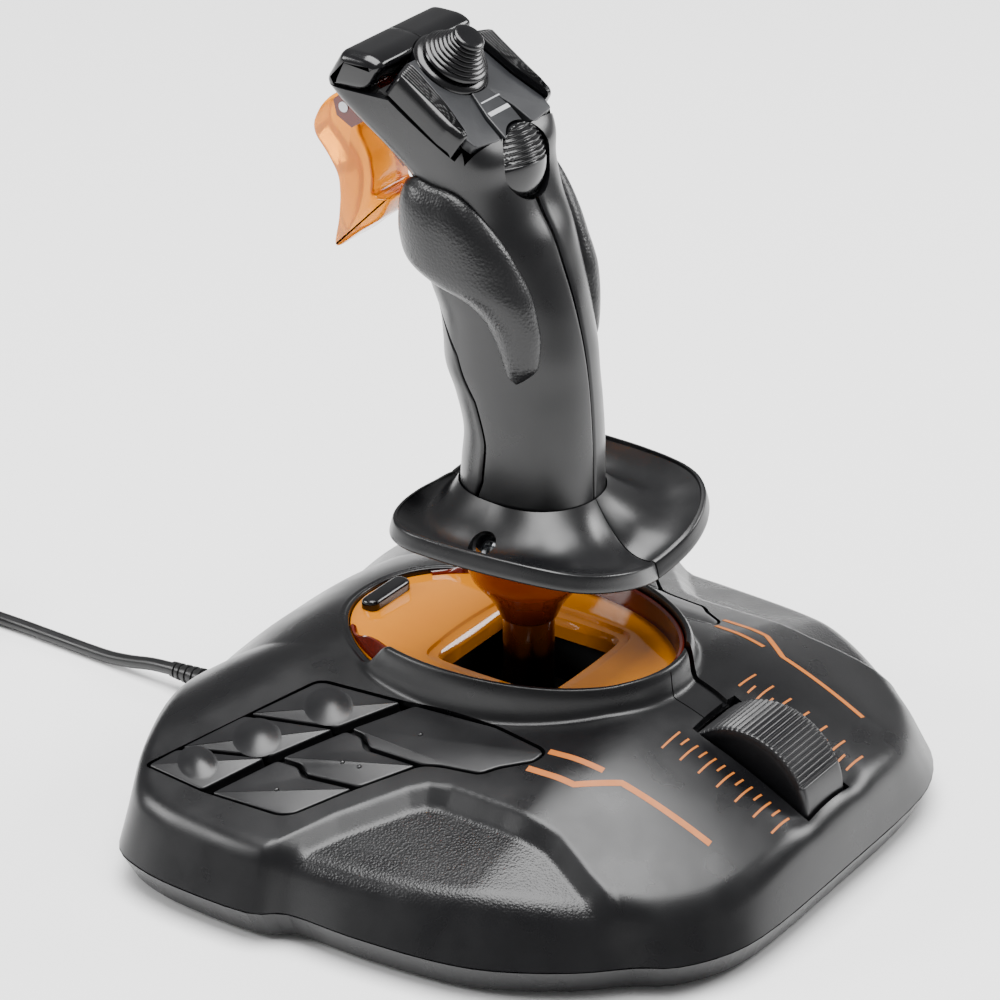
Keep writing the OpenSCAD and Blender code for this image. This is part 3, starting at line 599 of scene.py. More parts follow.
@dataclass
class Deck:
    """Top shell of the base with its oval collar, sunk sides, groove, prints and lit disc.

    The shell is a grid: one way round the base, the other from the lip of the oval opening out
    over the deck, down the wall and back inside.
    """

    hole_a: float = 37.5
    hole_b: float = 51.5
    hole_y: float = 4.5
    collar_w: float = 3.2
    lip_z: float = 55.5
    split_z: float = 10.0
    wall: float = 2.6
    sunk: float = 3.6
    band: float = 5.0
    steps: int = 21
    seat_z: float = 44.5
    disc_z: float = 47.3
    gate_half: float = 18.5
    gate_power: float = 10.5
    rows: tuple[tuple[float, float, float, float], ...] = (
        (0, 105, 0, 94), (-20, 103.5, -20, 92.5), (-36, 100, -35, 89.5), (-54, 93.5, -52.5, 84.5),
        (-75, 83, -73.5, 76.5), (-92, 73.5, -89.5, 69.5), (-104, 66, -98.5, 62.5), (-109, 55, -101.8, 54),
        (-111, 40, -103.4, 40), (-110.5, 17, -104, 18), (-105, 7, -100.5, 8), (-104.5, -13, -98.7, -10),
        (-102, -37, -95.8, -31), (-97, -54, -90.5, -48), (-86, -72, -81, -66), (-75, -84, -71, -79),
        (-68, -93.5, -64, -87.5), (-54, -101.5, -51.5, -95.5), (-36, -104.6, -35, -100), (0, -105, 0, -102),
    )
    sunk_edge: tuple[tuple[float, float], ...] = (
        (-125, 22), (-102.9, 16), (-85.6, 5.3), (-69.6, -7.6), (-65.9, -12.2), (-64.4, -18.5),
        (-64.5, -37.6), (-65.5, -54), (-70.1, -67), (-73.7, -83.5), (-76.4, -91.9), (-80, -125),
        (-150, -125), (-150, 22),
    )

    def height(self, x: Array, y: Array) -> Array:
        """Deck height: the lesser of a side slope and the flat top, blended over 6 mm, less a
        power curve that drops the rear, another that drops the nose, the sunk sides and a soft
        hollow beside the throttle wheel."""
        ax = np.abs(x)
        side, flat = 45 - 0.29 * (ax - 42), np.full_like(ax, 49.5)
        h = np.maximum(6 - np.abs(side - flat), 0) / 6
        base = np.minimum(side, flat) - h * h * 1.5
        ridge = np.maximum(44, 42.5 + 0.474 * (ax - 30))
        rear = 0.0393 * np.maximum(0, -y - 42) ** 1.55
        nose = 13.5 * (np.maximum(0, y - ridge) / 36) ** 2.2
        well = 1.3 * np.exp(-(((ax - 12) / 5.5) ** 2)) * step01((-y - 56) / 10) * step01((y + 104) / 8)
        return base - rear - nose - well - self.sunk * self.sunk_share(x, y)

    def sunk_share(self, x: Array, y: Array) -> Array:
        """0 on the deck, 1 on the floor of the sunk side, straight down the band between."""
        spots = np.stack([-np.abs(x), y], -1).reshape(-1, 2)
        d = depth_inside(spots, np.array(self.sunk_edge))
        return np.clip(d / self.band, 0, 1).reshape(np.shape(x))

    def edge(self) -> Array:
        """Lower and upper edge of the wall all the way round, counter-clockwise from above."""
        k = np.array(self.rows)
        mirror = k * [-1, 1, -1, 1]
        knots = np.vstack([mirror[1:2], k, mirror[-2:-1]])
        line = smooth_curve(knots, self.steps)[self.steps : -self.steps]
        return np.vstack([line, (line * [-1, 1, -1, 1])[-2:0:-1]])

    def shell(self) -> Surface:
        """The closed shell: sections through it, each in the plane from the opening's centre."""
        e = self.edge()
        centre = np.array([0.0, self.hole_y])
        reach = e[:, 2:] - centre
        w = np.linalg.norm(reach, axis=1)
        d = reach / w[:, None]
        hr = 1 / np.sqrt((d[:, 0] / self.hole_a) ** 2 + (d[:, 1] / self.hole_b) ** 2)
        collar = step01((np.degrees(np.arccos(np.clip(d[:, 1], -1, 1))) - 48) / 16)
        foot = centre + d * (hr + self.collar_w)[:, None]
        rise = collar * (self.lip_z - self.height(foot[:, 0], foot[:, 1]))

        def spot(u: Array) -> Array:
            """Plan point at distance u from the opening's centre on each section."""
            return centre + d * u[:, None]

        def top(u: Array, up: Array | float) -> Array:
            """Point on the deck at distance u, lifted by up."""
            p = spot(u)
            return np.column_stack([p, self.height(p[:, 0], p[:, 1]) + up])

        seat = np.column_stack([spot(hr), np.full(len(e), self.seat_z)])
        lip = smooth_curve(
            np.array(
                [
                    [0, 1, -1.2], [0.25, 1, -0.3], [0.9, 1, 0], [1.7, 1, -0.35], [2.6, 0.72, 0],
                    [3.5, 0.3, 0], [4.4, 0.08, 0], [5.4, 0, 0]
                ]
            ),
            4
        )
        parts = [seat] + [top(hr + u, rise * f + g) for u, f, g in lip]
        start, stop = hr + 5.4, w - 4
        parts += [top(start + (stop - start) * t, 0.0) for t in np.linspace(0, 1, 62)[1:]]
        low = np.column_stack([e[:, :2], np.full(len(e), self.split_z)])
        p0, p1 = top(stop, 0.0), top(w, 0.0)
        fall = low - p1
        p2 = p1 + fall / np.linalg.norm(fall, axis=1, keepdims=True) * 5
        parts += [p0 * (1 - t) ** 2 + p1 * 2 * t * (1 - t) + p2 * t * t for t in np.linspace(0, 1, 9)[1:]]
        parts += [p2 + (low - p2) * t for t in (0.3, 0.6, 0.97)]
        parts += [low - np.column_stack([d * 0.5, np.zeros(len(e))])]
        inward = np.column_stack([-d * self.wall, np.zeros(len(e))])
        parts += [low + inward, (p2 + low) / 2 + inward, p2 + inward + [0, 0, -1]]
        parts += [top(start + (stop - self.wall - start) * t, -self.wall) for t in np.linspace(1, 0, 9)]
        parts += [np.column_stack([spot(hr + 2.2), np.full(len(e), self.seat_z)])]
        return loft(np.stack(parts, 1), ring=True)

    def strip(
        self, line: Sequence[tuple[float, float]], width: float, up: float, down: float, step: float = 1.0
    ) -> Surface:
        """A ribbon that lies on the deck along a plan line: its section is a flat rectangle whose
        corners keep their own distance from the deck.

        Args:
            line: Corners of the plan line.
            width: Width of the ribbon.
            up: Height of its top over the deck.
            down: Depth of its underside below the deck.
            step: Distance between its sections.

        Returns:
            The closed ribbon.
        """
        c = np.array(line, float)
        n = np.maximum(2, (np.linalg.norm(np.diff(c, axis=0), axis=1) / step).astype(int))
        legs = [
            a + (b - a) * np.linspace(0, 1, k, endpoint=False)[:, None]
            for a, b, k in zip(c[:-1], c[1:], n)
        ]
        pts = np.vstack(legs + [c[-1:]])
        d = np.gradient(pts, axis=0)
        d /= np.linalg.norm(d, axis=1, keepdims=True)
        side = np.column_stack([-d[:, 1], d[:, 0]]) * width / 2
        loops = []
        for s, lift in ((1, -down), (1, up), (0, up), (-1, up), (-1, -down)):
            q = pts + s * side
            loops.append(np.column_stack([q, self.height(q[:, 0], q[:, 1]) + lift]))
        return loft(np.stack(loops, 1))

    def prints(self, side: Side) -> Surface:
        """Orange lines and the throttle scale on one side."""
        s = -1 if side is Side.LEFT else 1
        lines = [
            self.strip([(s * 43, -35.6), (s * 41.7, -52.3)], 1.8, 0.06, 0.3),
            self.strip(
                [(s * 50.6, -33.6), (s * 50.1, -48.3), (s * 42.1, -58.4), (s * 40.8, -85.7)], 1.9, 0.06, 0.3
            ),
        ]
        ticks = [
            self.strip([(s * 15.4, y), (s * (19.6 if i % 2 else 24.6), y)], 0.55, 0.06, 0.3)
            for i, y in enumerate(np.linspace(-60, -95, 13))
        ]
        return joined(lines + ticks)

    def disc(self) -> Surface:
        """The lit disc: loops from the oval rim to the square gate and back underneath. The gate's
        outline is r = half / (|cos|^n + |sin|^n)^(1/n), where n is its power: a square with 4 mm
        corners."""
        a = np.linspace(0, 2 * math.pi, 288, endpoint=False)
        c, s = np.cos(a), np.sin(a)
        n = self.gate_power
        gate = self.gate_half / (np.abs(c) ** n + np.abs(s) ** n) ** (1 / n)

        def oval(trim: float) -> Array:
            """Distance of the oval rim along each ray from the gate's centre."""
            ra, rb = self.hole_a - trim, self.hole_b - trim
            p, q, r = (c / ra) ** 2 + (s / rb) ** 2, -2 * s * self.hole_y / rb**2, (self.hole_y / rb) ** 2 - 1
            return (-q + np.sqrt(q * q - 4 * p * r)) / (2 * p)

        rings = [
            (oval(0.3), 44.7), (oval(0.3), 46.8), (oval(0.42), 47.15), (oval(0.8), self.disc_z),
            (gate + 6.0, self.disc_z), (gate + 5.0, self.disc_z), (gate + 4.7, 47.2), (gate + 4.2, 46.4),
            (gate + 3.9, 46.25), (gate + 1.5, 46.1), (gate + 1.2, 45.9), (gate + 0.25, 44.6),
            (gate + 0.05, 44.2), (gate + 0.05, 40.4), (gate + 1.3, 40.4), (gate + 1.6, 44.0),
            (gate + 3.0, 44.7),
        ]
        return loft(
            np.array([np.column_stack([r * c, r * s, np.full(len(a), z)]) for r, z in rings]), ring=True
        )

    def rim(self) -> Surface:
        """Translucent rim that stands up round the disc, to just past the middle on each side."""
        a = np.linspace(-238, 58, 220) * math.pi / 180
        tops = 53.6 - 5.6 * step01((np.degrees(a) - 30) / 22) - 5.6 * step01((-210 - np.degrees(a)) / 22)

        def wall_at(trim: float, z: Array) -> Array:
            """Points of the rim at a distance inside the opening."""
            return np.column_stack(
                [(self.hole_a - trim) * np.cos(a), self.hole_y + (self.hole_b - trim) * np.sin(a), z]
            )

        loops = [
            wall_at(0.35, np.full(len(a), 47.1)), wall_at(0.4, tops), wall_at(0.9, tops + 0.25),
            wall_at(1.7, tops - 0.2), wall_at(2.2, np.full(len(a), 47.1))
        ]
        return loft(np.stack(loops, 1))

    def build(self) -> None:
        """Make the deck, its prints, the disc, the rim and the clip."""
        shell = make_piece("deck_shell", self.shell(), DECK_ABS, "base", 30)
        pocket = slab(ButtonGroup.facet(rounded(ButtonGroup.outline, 2.2, 6)), [(-14, 0), (16, 0)])
        tools = [side.of(ButtonGroup.on_side(pocket)) for side in Side]
        tools.append(block(np.eye(4), (-11, 11), (-98.7, -61.3), (20, 60)))
        groove = [(14.4, -39.0), (11.4, -45.2), (7.6, -50.2), (6.4, -58.6), (5.4, -64)]
        tools.append(self.strip(groove, 2.3, 9.0, 1.5))
        tools.append(self.strip([(0.6, -44.6), (-4.7, -51.3), (-5.3, -64.7)], 0.35, 6.0, 0.5))
        cut(shell, tools, 30)
        co = np.empty(len(shell.data.vertices) * 3, np.float32)
        shell.data.vertices.foreach_get("co", co)
        co = co.reshape(-1, 3) / MM
        share = self.sunk_share(co[:, 0].astype(float), co[:, 1].astype(float)) * (co[:, 2] > 22)
        shell.data.attributes.new("pebble", "FLOAT", "POINT").data.foreach_set(
            "value", step01((share - 0.9) * 12).astype(np.float32)
        )
        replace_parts(shell, "top_shell")
        for side in Side:
            ink = make_piece(
                f"scale_print_{side.value}", self.prints(side), ORANGE_INK, "base"
            )
            ink.visible_shadow = False
        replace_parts(make_piece("lamp_disc", self.disc(), AMBER_PC, "base", 25), "light_disc")
        # The rim's colour is painted shade: amber resin painted dark red-brown.
        make_piece("lamp_rim", self.rim(), AMBER_PC_PAINTED_SHADE, "base", 40)
        pill = rounded(rect((-9.5, 9.5), (46.9, 52.5)), 2.7, 9)
        clip = slab(pill, eased(47.4, 50.4, 0, 1.3, 6))
        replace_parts(make_piece("disc_clip_cover", clip, GLOSS_ABS, "base"), "disc_clip")


@dataclass
class ButtonGroup:
    """Six caps on each side of the deck: three with oval domes, three flat with raised dots."""

    outline: tuple[tuple[float, float], ...] = (
        (-91.6, 66.5), (-46, 41.2), (-44.4, 38.3), (-40.2, -16.5), (-42.4, -33.4), (-44, -35.5),
        (-48.1, -34.5), (-53.8, -26.8), (-58, -23.2), (-59.8, -11.2), (-61.5, -6.1), (-77.1, 6.5),
        (-90.1, 15.6), (-92.2, 19.3), (-93.3, 44.6),
    )
    caps: tuple[tuple[tuple[float, float], ...], ...] = (
        ((-63.6, 50.4), (-46.3, 40.4), (-45.2, 38), (-43.4, 13.4), (-58.2, 24.6)),
        ((-81.7, 60.6), (-64.9, 51.6), (-59.3, 25), (-74.5, 35.2)),
        ((-91, 65.2), (-82.9, 61.4), (-75.9, 36.2), (-92.5, 45.3)),
        ((-42.9, 9), (-41.1, -16.5), (-43.2, -32.8), (-44.4, -34.4), (-47.7, -33.6), (-53.2, -26),
         (-57.1, -22.6), (-58.9, -11), (-60.6, -5.8), (-60.9, 11.6), (-57.5, 15.6), (-57.2, 20.4)),
        ((-58.6, 21.2), (-58.7, 15.9), (-62.2, 12.2), (-61.8, -4.6), (-74.3, 5.2), (-76.2, 21.6),
         (-73.6, 25.1), (-73.9, 31.8)),
        ((-75.3, 32.4), (-75, 25.5), (-77.6, 22.1), (-75.8, 6.6), (-89.6, 16.1), (-91.3, 19.5),
         (-92.5, 42)),
    )
    stems: tuple[tuple[float, float], ...] = (
        (-51.5, 33), (-69.3, 45), (-84.4, 54), (-51.5, -2), (-68.2, 13), (-83.8, 26)
    )
    domes: tuple[tuple[float, float, float, float], ...] = (
        (-52.6, 31.5, 6.6, 8.4), (-70.4, 43.0, 6.6, 8.4), (-84.9, 52.6, 5.2, 7.6)
    )
    dots: tuple[tuple[int, float, float], ...] = (
        (4, -51.5, 1.0), (5, -68.7, 15.0), (5, -68.3, 9.6), (6, -84.3, 25.8)
    )
    thickness: float = 3.0
    tilt: float = math.atan(0.29)

    @classmethod
    def facet(cls, plan: Array) -> Array:
        """Plan points turned into the facet's own plane."""
        p = np.asarray(plan, float)
        return np.column_stack([(p[:, 0] + 42) / math.cos(cls.tilt), p[:, 1]])

    @classmethod
    def on_side(cls, surface: Surface) -> Surface:
        """A surface carried from the facet's frame to the left side of the deck."""
        c, s = math.cos(cls.tilt), math.sin(cls.tilt)
        return surface.placed(axes((-42, 0, 45), (c, 0, s), (0, 1, 0), (-s, 0, c)))

    def cap(self, k: int) -> Surface:
        """One cap: a slab with a rounded top edge, its stem, and a dome or dots.

        The dome's height over the cap is 1.5 (1 - q^2)^1.6, where q is the distance from its
        middle as a share of its half width and half length.
        """
        shape = self.facet(rounded(self.caps[k - 1], 1.3, 6))
        parts = [slab(shape, eased(-self.thickness, 0.0, 0.0, 0.55, 5))]
        stem = self.facet(np.array([self.stems[k - 1]]))[0]
        parts.append(
            turned(np.array([[2.5, -9.6], [2.5, -1.6]]), 32).placed(
                axes((stem[0], stem[1], 0), (1, 0, 0), (0, 1, 0), (0, 0, 1))
            )
        )
        if k <= 3:
            x, y, a, b = self.domes[k - 1]
            q = np.linspace(1, 0.02, 16)[:, None]
            t = np.linspace(0, 2 * math.pi, 56, endpoint=False)[None, :]
            mid = self.facet(np.array([[x, y]]))[0]
            turn = math.radians(-28)
            u, v = a * q * np.cos(t), b * q * np.sin(t)
            z = np.broadcast_to(1.5 * (1 - q**2) ** 1.6, u.shape)
            top = np.stack(
                [
                    mid[0] + u * math.cos(turn) - v * math.sin(turn),
                    mid[1] + u * math.sin(turn) + v * math.cos(turn), z
                ],
                -1
            )
            foot = top[:1] * [1, 1, 0] + [0, 0, -0.8]
            parts.append(loft(np.concatenate([foot, top])))
        for n, x, y in self.dots:
            if n == k:
                mid = self.facet(np.array([[x, y]]))[0]
                a = np.linspace(0, math.pi / 2 * 0.97, 7)
                dot = turned(np.column_stack([0.75 * np.cos(a), 0.55 * np.sin(a)]), 20)
                parts.append(dot.placed(axes((mid[0], mid[1], -0.05), (1, 0, 0), (0, 1, 0), (0, 0, 1))))
        return self.on_side(joined(parts))

    def build(self) -> None:
        """Make the twelve caps."""
        for side in Side:
            for k in range(1, 7):
                body = f"button_{side.value}_{k}"
                cap = make_piece(
                    f"cap_{side.value}_{k}", side.of(self.cap(k)), CAP_ABS, body, 40
                )
                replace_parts(cap, body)


@dataclass
class ThrottleWheel:
    """Ribbed wheel behind the stick, a solid of revolution about X.

    The rim's radius drops between ribs by depth times the square root of (1 + cos) / 2 of the
    rib angle, only over the arc that shows; the rear end of the arc is smooth.
    """

    radius: float = 21.2
    centre: tuple[float, float, float] = (0.0, -76.5, 27.3)
    ribs: int = 84
    depth: float = 0.75

    def surface(self) -> Surface:
        """Loops of the wheel from one hub end to the other."""
        half = [
            (8.4, self.radius), (9.1, self.radius), (9.5, 21.0), (9.85, 20.5), (10, 19.4), (9.9, 18.4),
            (9.4, 17.4), (9.3, 4.5), (12.5, 4.5),
        ]
        stations = [(-x, r) for x, r in reversed(half)] + [(0, self.radius)] + half
        a = np.linspace(0, 2 * math.pi, self.ribs * 10, endpoint=False)
        degrees = np.degrees(a)
        shown = step01((degrees - 24) / 3) * step01((172 - degrees) / 3)
        notch = self.depth * np.sqrt((1 + np.cos(self.ribs * a)) / 2) * shown
        loops = []
        for x, r in stations:
            rr = r - notch * (1.0 if abs(x) <= 9.1 and r > 21.1 else 0.55 if r > 20.9 else 0.0)
            loops.append(
                np.column_stack(
                    [np.full(len(a), x), self.centre[1] - rr * np.cos(a), self.centre[2] + rr * np.sin(a)]
                )
            )
        return loft(np.array(loops))

    def build(self) -> None:
        """Make the wheel."""
        wheel = make_piece("ribbed_wheel", self.surface(), CAP_ABS, "throttle", 28)
        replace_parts(wheel, "throttle_wheel")


@dataclass
class Cable:
    """USB lead: strain relief, a run along the desk, a flat coil, a tie and the plug."""

    radius: float = 2.0
    length: float = 1800.0
    coil: tuple[float, float] = (-41.0, 226.0)
    outer: float = 32.0
    inner: float = 16.0
    run: tuple[tuple[float, float, float], ...] = (
        (-10, 122, 6), (-10, 130, 5.2), (-10, 138, 3.6), (-9.8, 146, 2.4), (-9.6, 154, 2.1),
        (-9.4, 163, 2.1), (-9.2, 172, 2.1), (-9, 181, 2.1), (-9, 190, 2.1), (-9, 199, 2.1),
        (-9, 206, 2.1), (-9, 212, 2.1), (-9, 218, 2.1),
    )

    def plug_foot(self) -> tuple[float, float, float]:
        """Point where the lead enters the plug."""
        return (self.coil[0] + 22, self.coil[1] - 8, 16.7)

    def centreline(self) -> Array:
        """Exit to plug: the run, then an inward spiral on the desk, an outward one on top of it and
        an inward one on top of that, with a quarter turn of climb between, then the rise to the plug."""
        run = smooth_curve(np.array(self.run, float), 3)
        turns = [
            (0.0, self.outer, 2.3), (4.0, self.inner, 2.4), (4.25, self.inner, 6.4),
            (8.25, self.outer, 6.4), (8.5, self.outer, 10.4), (10.72, self.outer - 8.88, 10.4)
        ]
        t, r, z = (np.array(v) for v in zip(*turns))
        steps = np.arange(0, t[-1], 1 / 40)
        angle = 2 * math.pi * steps
        climb = np.interp(steps, t, z)
        rr = np.interp(steps, t, r)
        coil = np.column_stack(
            [self.coil[0] + rr * np.cos(angle), self.coil[1] + rr * np.sin(angle), climb]
        )
        last = coil[-1]
        head = coil[-1] - coil[-2]
        head /= np.linalg.norm(head)
        goal, into = np.array(self.plug_foot()), np.array([0.0, 1.0, 0.0])
        reach = np.linalg.norm(goal - last) * 1.15
        u = np.linspace(0, 1, 16)[1:, None]
        stay, leave = 2 * u**3 - 3 * u**2 + 1, u**3 - 2 * u**2 + u
        near, enter = 3 * u**2 - 2 * u**3, u**3 - u**2
        rise = stay * last + leave * reach * head + near * goal + enter * reach * into
        return np.vstack([run, coil, rise])

    def build(self) -> None:
        line = self.centreline()
        curve = bpy.data.curves.new("usb_lead", "CURVE")
        curve.dimensions = "3D"
        curve.bevel_depth, curve.bevel_resolution, curve.resolution_u = self.radius * MM, 4, 1
        curve.use_fill_caps = True
        spline = curve.splines.new("POLY")
        spline.points.add(len(line) - 1)
        spline.points.foreach_set(
            "co", np.column_stack([line * MM, np.ones(len(line))]).astype(np.float32).ravel()
        )
        spline.use_smooth = True
        curve.materials.append(CORD_PVC.build())
        lead = bpy.data.objects.new("usb_lead", curve)
        bpy.context.scene.collection.objects.link(lead)
        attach(lead, "base")
        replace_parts(lead, "cable_tube", "cable_coil")
        measured = float(np.linalg.norm(np.diff(line, axis=0), axis=1).sum())
        log.info("usb_lead: %.0f mm along its centre", measured)

        steps = np.linspace(0, 23, 116)
        taper = np.interp(steps, [0, 5, 5.01, 23], [3.15, 3.15, 3.9, 2.4])
        slots = 0.45 * (np.sin(steps * 2 * math.pi / 2.6) > 0.2) * (steps > 7.5) * (steps < 21.5)
        sleeve = turned(np.column_stack([taper - slots, steps]), 40).placed(
            axes((-10, 99, 6), (1, 0, 0), (0, 0, -1), (0, 1, 0))
        )
        relief = make_piece("lead_sleeve", sleeve, CORD_PVC, "base", 50)
        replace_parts(relief, "strain_relief")

        x0, y0 = self.coil[0] - 24, self.coil[1]
        outer = rounded(rect((-11, 11), (0, 13.4)), 2.2, 6)
        band_in = inset(outer, 0.6)
        ring = np.stack(
            [
                np.column_stack([x0 + o[:, 0], np.full(len(o), y0 + s), o[:, 1]])
                for o, s in ((outer, -3.0), (outer, 3.0), (band_in, 3.0), (band_in, -3.0))
            ]
        )
        tie = make_piece("coil_tie", loft(ring, ring=True), CORD_PVC, "base", 40)
        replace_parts(tie, "cable_tie")

        at = axes(self.plug_foot(), (1, 0, 0), (0, 0, 1), (0, -1, 0))
        body = slab(
            rounded(rect((-8, 8), (-4, 4)), 2.4, 6),
            [(0, 2.2), (-0.6, 1.2), (-2, 0.3), (-3.5, 0), (-24, 0), (-25.4, 0.4), (-26, 1.2)]
        )
        ridges = [
            slab(rounded(rect((-7, 7), (-4.25, 4.25)), 2.2, 5), [(z, 0), (z - 0.3, 0), (z - 1.1, 0)])
            for z in np.arange(-6.0, -18.0, -2.4)
        ]
        plug = make_piece(
            "plug_body", joined([body] + ridges).placed(at), CORD_PVC, "base", 40
        )
        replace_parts(plug, "usb_plug")
        shell = rounded(rect((-6, 6), (-2.25, 2.25)), 0.6, 4)
        inner = inset(shell, 0.35)
        core = inset(shell, 2.0)
        stages = (
            (shell, -25.0), (shell, -42.6), (inset(shell, 0.15), -43), (inner, -43), (inner, -30),
            (core, -30), (core, -25.0)
        )
        rings = np.array([np.column_stack([o, np.full(len(o), z)]) for o, z in stages])
        tongue = slab(rounded(rect((-5.4, 5.4), (-1.7, -0.1)), 0.3, 3), [(-29.5, 0), (-42, 0)])
        metal = make_piece(
            "plug_shell", loft(rings, ring=True).placed(at), ZINC_STEEL, "base", 40
        )
        insert = make_piece("plug_tongue", tongue.placed(at), CORD_PVC, "base", 40)


# ---------------------------------------------------------------- the stick


class Stick:
    """Shaft and bell between the gimbal and the hand rest."""

    def build(self) -> None:
        """Make the shaft with its cross-block and the bell."""
        steps = [[6.9, 12], [7.35, 12.5], [7.35, 56], [7.35, 60], [7.35, 82], [6, 82.2], [6, 110.6],
                 [5.6, 111]]
        shaft = turned(np.array(steps), 96)
        yoke = slab(rounded(rect((-10, 10), (-10, 10)), 1.5, 5), eased(18, 26, 0.8, 0.8))
        pin = bar(axes((0, 0, 22), (1, 0, 0), (0, 0, -1), (0, 1, 0)), 2.0, (-19, 19), 40)
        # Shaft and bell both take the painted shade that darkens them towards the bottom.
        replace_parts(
            make_piece("shaft_moulding", joined([shaft, yoke, pin]), SHAFT_PC, "stick"),
            "stick_shaft"
        )
        knots = np.array(
            [
                [7.5, 57], [8.2, 57.6], [9.2, 60], [11.5, 64], [14.5, 67.6], [16.6, 70.6], [17.8, 75],
                [18.9, 80], [19, 83.6]
            ]
        )
        outer = smooth_curve(knots, 6)
        ring = np.vstack([outer, [[18.6, 84], [7.6, 84], [7.4, 83]]])
        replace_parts(make_piece("bell_moulding", spun(ring), SHAFT_PC, "stick"), "shaft_bell")


def screw_head(radius: float, height: float, cross: float, count: int = 72) -> Surface:
    """A pan head with a cross recess: height = h sqrt(1 - 0.75 q^2), q from 0 in the middle to 1 at
    the edge, less the cross, whose arms are about a fifth of the head wide.

    Args:
        radius: Radius of the head.
        height: Height of its crown.
        cross: Depth of the recess.
        count: Points round it.

    Returns:
        The closed head, standing on z = 0.
    """
    q = np.linspace(1, 0.02, 26)[:, None]
    a = np.linspace(0, 2 * math.pi, count, endpoint=False)[None, :]
    x, y = radius * q * np.cos(a), radius * q * np.sin(a)
    arm = np.minimum(np.abs(x), np.abs(y)) / (0.17 * radius)
    reach = np.maximum(np.abs(x), np.abs(y)) / (0.6 * radius)
    sunk = cross * step01((1.15 - arm) / 0.35) * step01((1.1 - reach) / 0.3)
    top = np.stack([x, y, height * np.sqrt(1 - 0.75 * q**2) - sunk], -1)
    return loft(np.concatenate([top[:1] * [1, 1, 0], top]))


@dataclass
class HandRest:
    """Saddle under the hand, in two halves that meet at the back and front.

    A section at angle a runs from the neck to the rim, whose knots give angle from the back, radius
    and height; its top sags between the two by (1.5 + 5.5 sin^2 a) sin(pi t).
    """

    screw: Array = field(
        default_factory=lambda: axes((-18.5, -2.7, 85), (0.6157, 0, 0.788), (0, 1, 0), (-0.788, 0, 0.6157))
    )
    neck: float = 99.4
    thick: float = 3.2
    rim: tuple[tuple[float, float, float], ...] = (
        (0, 41.5, 85.5), (8, 43.4, 87.2), (16, 45.6, 89.2), (24, 47.3, 90.9), (32, 48.6, 92.5),
        (40, 49.3, 94.1), (47, 48.7, 95.4), (54, 46.9, 96.1), (62, 44.5, 96.4), (72, 42.3, 96.5),
        (84, 41, 96.5), (96, 41, 96.5), (106, 42, 96.5), (114, 42.1, 96.5), (120, 41.1, 96.5),
        (126, 39.1, 96.5), (134, 35.7, 96.4), (146, 30.9, 96.3), (162, 27.3, 95.5), (180, 26, 94.8),
    )

    def half(self) -> Surface:
        """Closed left half."""
        line = smooth_curve(np.array(self.rim, float), 8)
        degrees = np.clip(line[:, 0], 0.35, 179.65)
        a = np.radians(degrees)
        s = np.abs(np.sin(a))
        rim, rim_z = line[:, 1], line[:, 2]
        neck = Grip.point(np.array([[96, -21.8, 19.4, 17.6, 2.2]]), degrees[None, :], 0.3)[0]
        r0 = np.linalg.norm(neck[:, :2], axis=1)

        def at(r: Array, z: Array) -> Array:
            """Points of all sections at radius r and height z."""
            return np.column_stack([-r * np.sin(a), -r * np.cos(a), z * np.ones(len(a))])

        def top_z(t: Array) -> Array:
            """Height of the top at share t of the way to the rim."""
            f = 1 - np.maximum(1 - t, 0) ** 2.1
            return self.neck * (1 - f) + rim_z * f - (1.5 + 5.5 * s**2) * np.sin(np.pi * t)

        loops = [at(r0 + (rim - r0) * t, top_z(t)) for t in np.linspace(0, 0.95, 30)]
        bead = np.array(
            [
                [-1.1, 0.0], [-0.4, -0.05], [0.15, -0.35], [0.5, -1.2], [0.9, -2.6], [1.25, -4.0],
                [1.2, -4.8], [0.6, -5.25], [-1.2, -5.1]
            ]
        )
        loops += [at(rim + dr, rim_z + dz) for dr, dz in smooth_curve(bead, 4)]
        for t in np.linspace(1, 0.2, 12):
            r = 22 + (rim - 2.4 - 22) * t
            loops.append(at(r, top_z((r - r0) / (rim - r0)) - self.thick))
        loops += [at(np.full(len(a), 21.6), 85.0), at(r0 - 3.2, 85.0), at(r0 - 3.2, 95.6), at(r0, 95.6)]
        return loft(np.stack(loops, 1))

    def build(self) -> None:
        """Make both halves and their sunk screws."""
        bore = turned(np.array([[3.3, 3.9], [3.3, 8], [3.9, 8.6], [3.9, 24]]), 64).placed(self.screw)
        for side in Side:
            half = make_piece(
                f"rest_half_{side.value}", side.of(self.half()), GRIP_ABS, "grip", 34
            )
            cut(half, [side.of(bore)], 34)
            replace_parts(half, f"hand_rest_{side.value}")
            head = screw_head(2.85, 2.2, 1.3).placed(
                self.screw @ axes((0, 0, 4.05), (1, 0, 0), (0, 1, 0), (0, 0, 1))
            )
            ring = turned(
                np.array([[3.25, 3.95], [3.25, 4.6], [2.95, 4.6], [2.95, 4.1]]), 48
            ).placed(self.screw)
            make_piece(
                f"rest_screw_{side.value}", joined([head, ring]), ZINC_STEEL, "grip", 30
            )


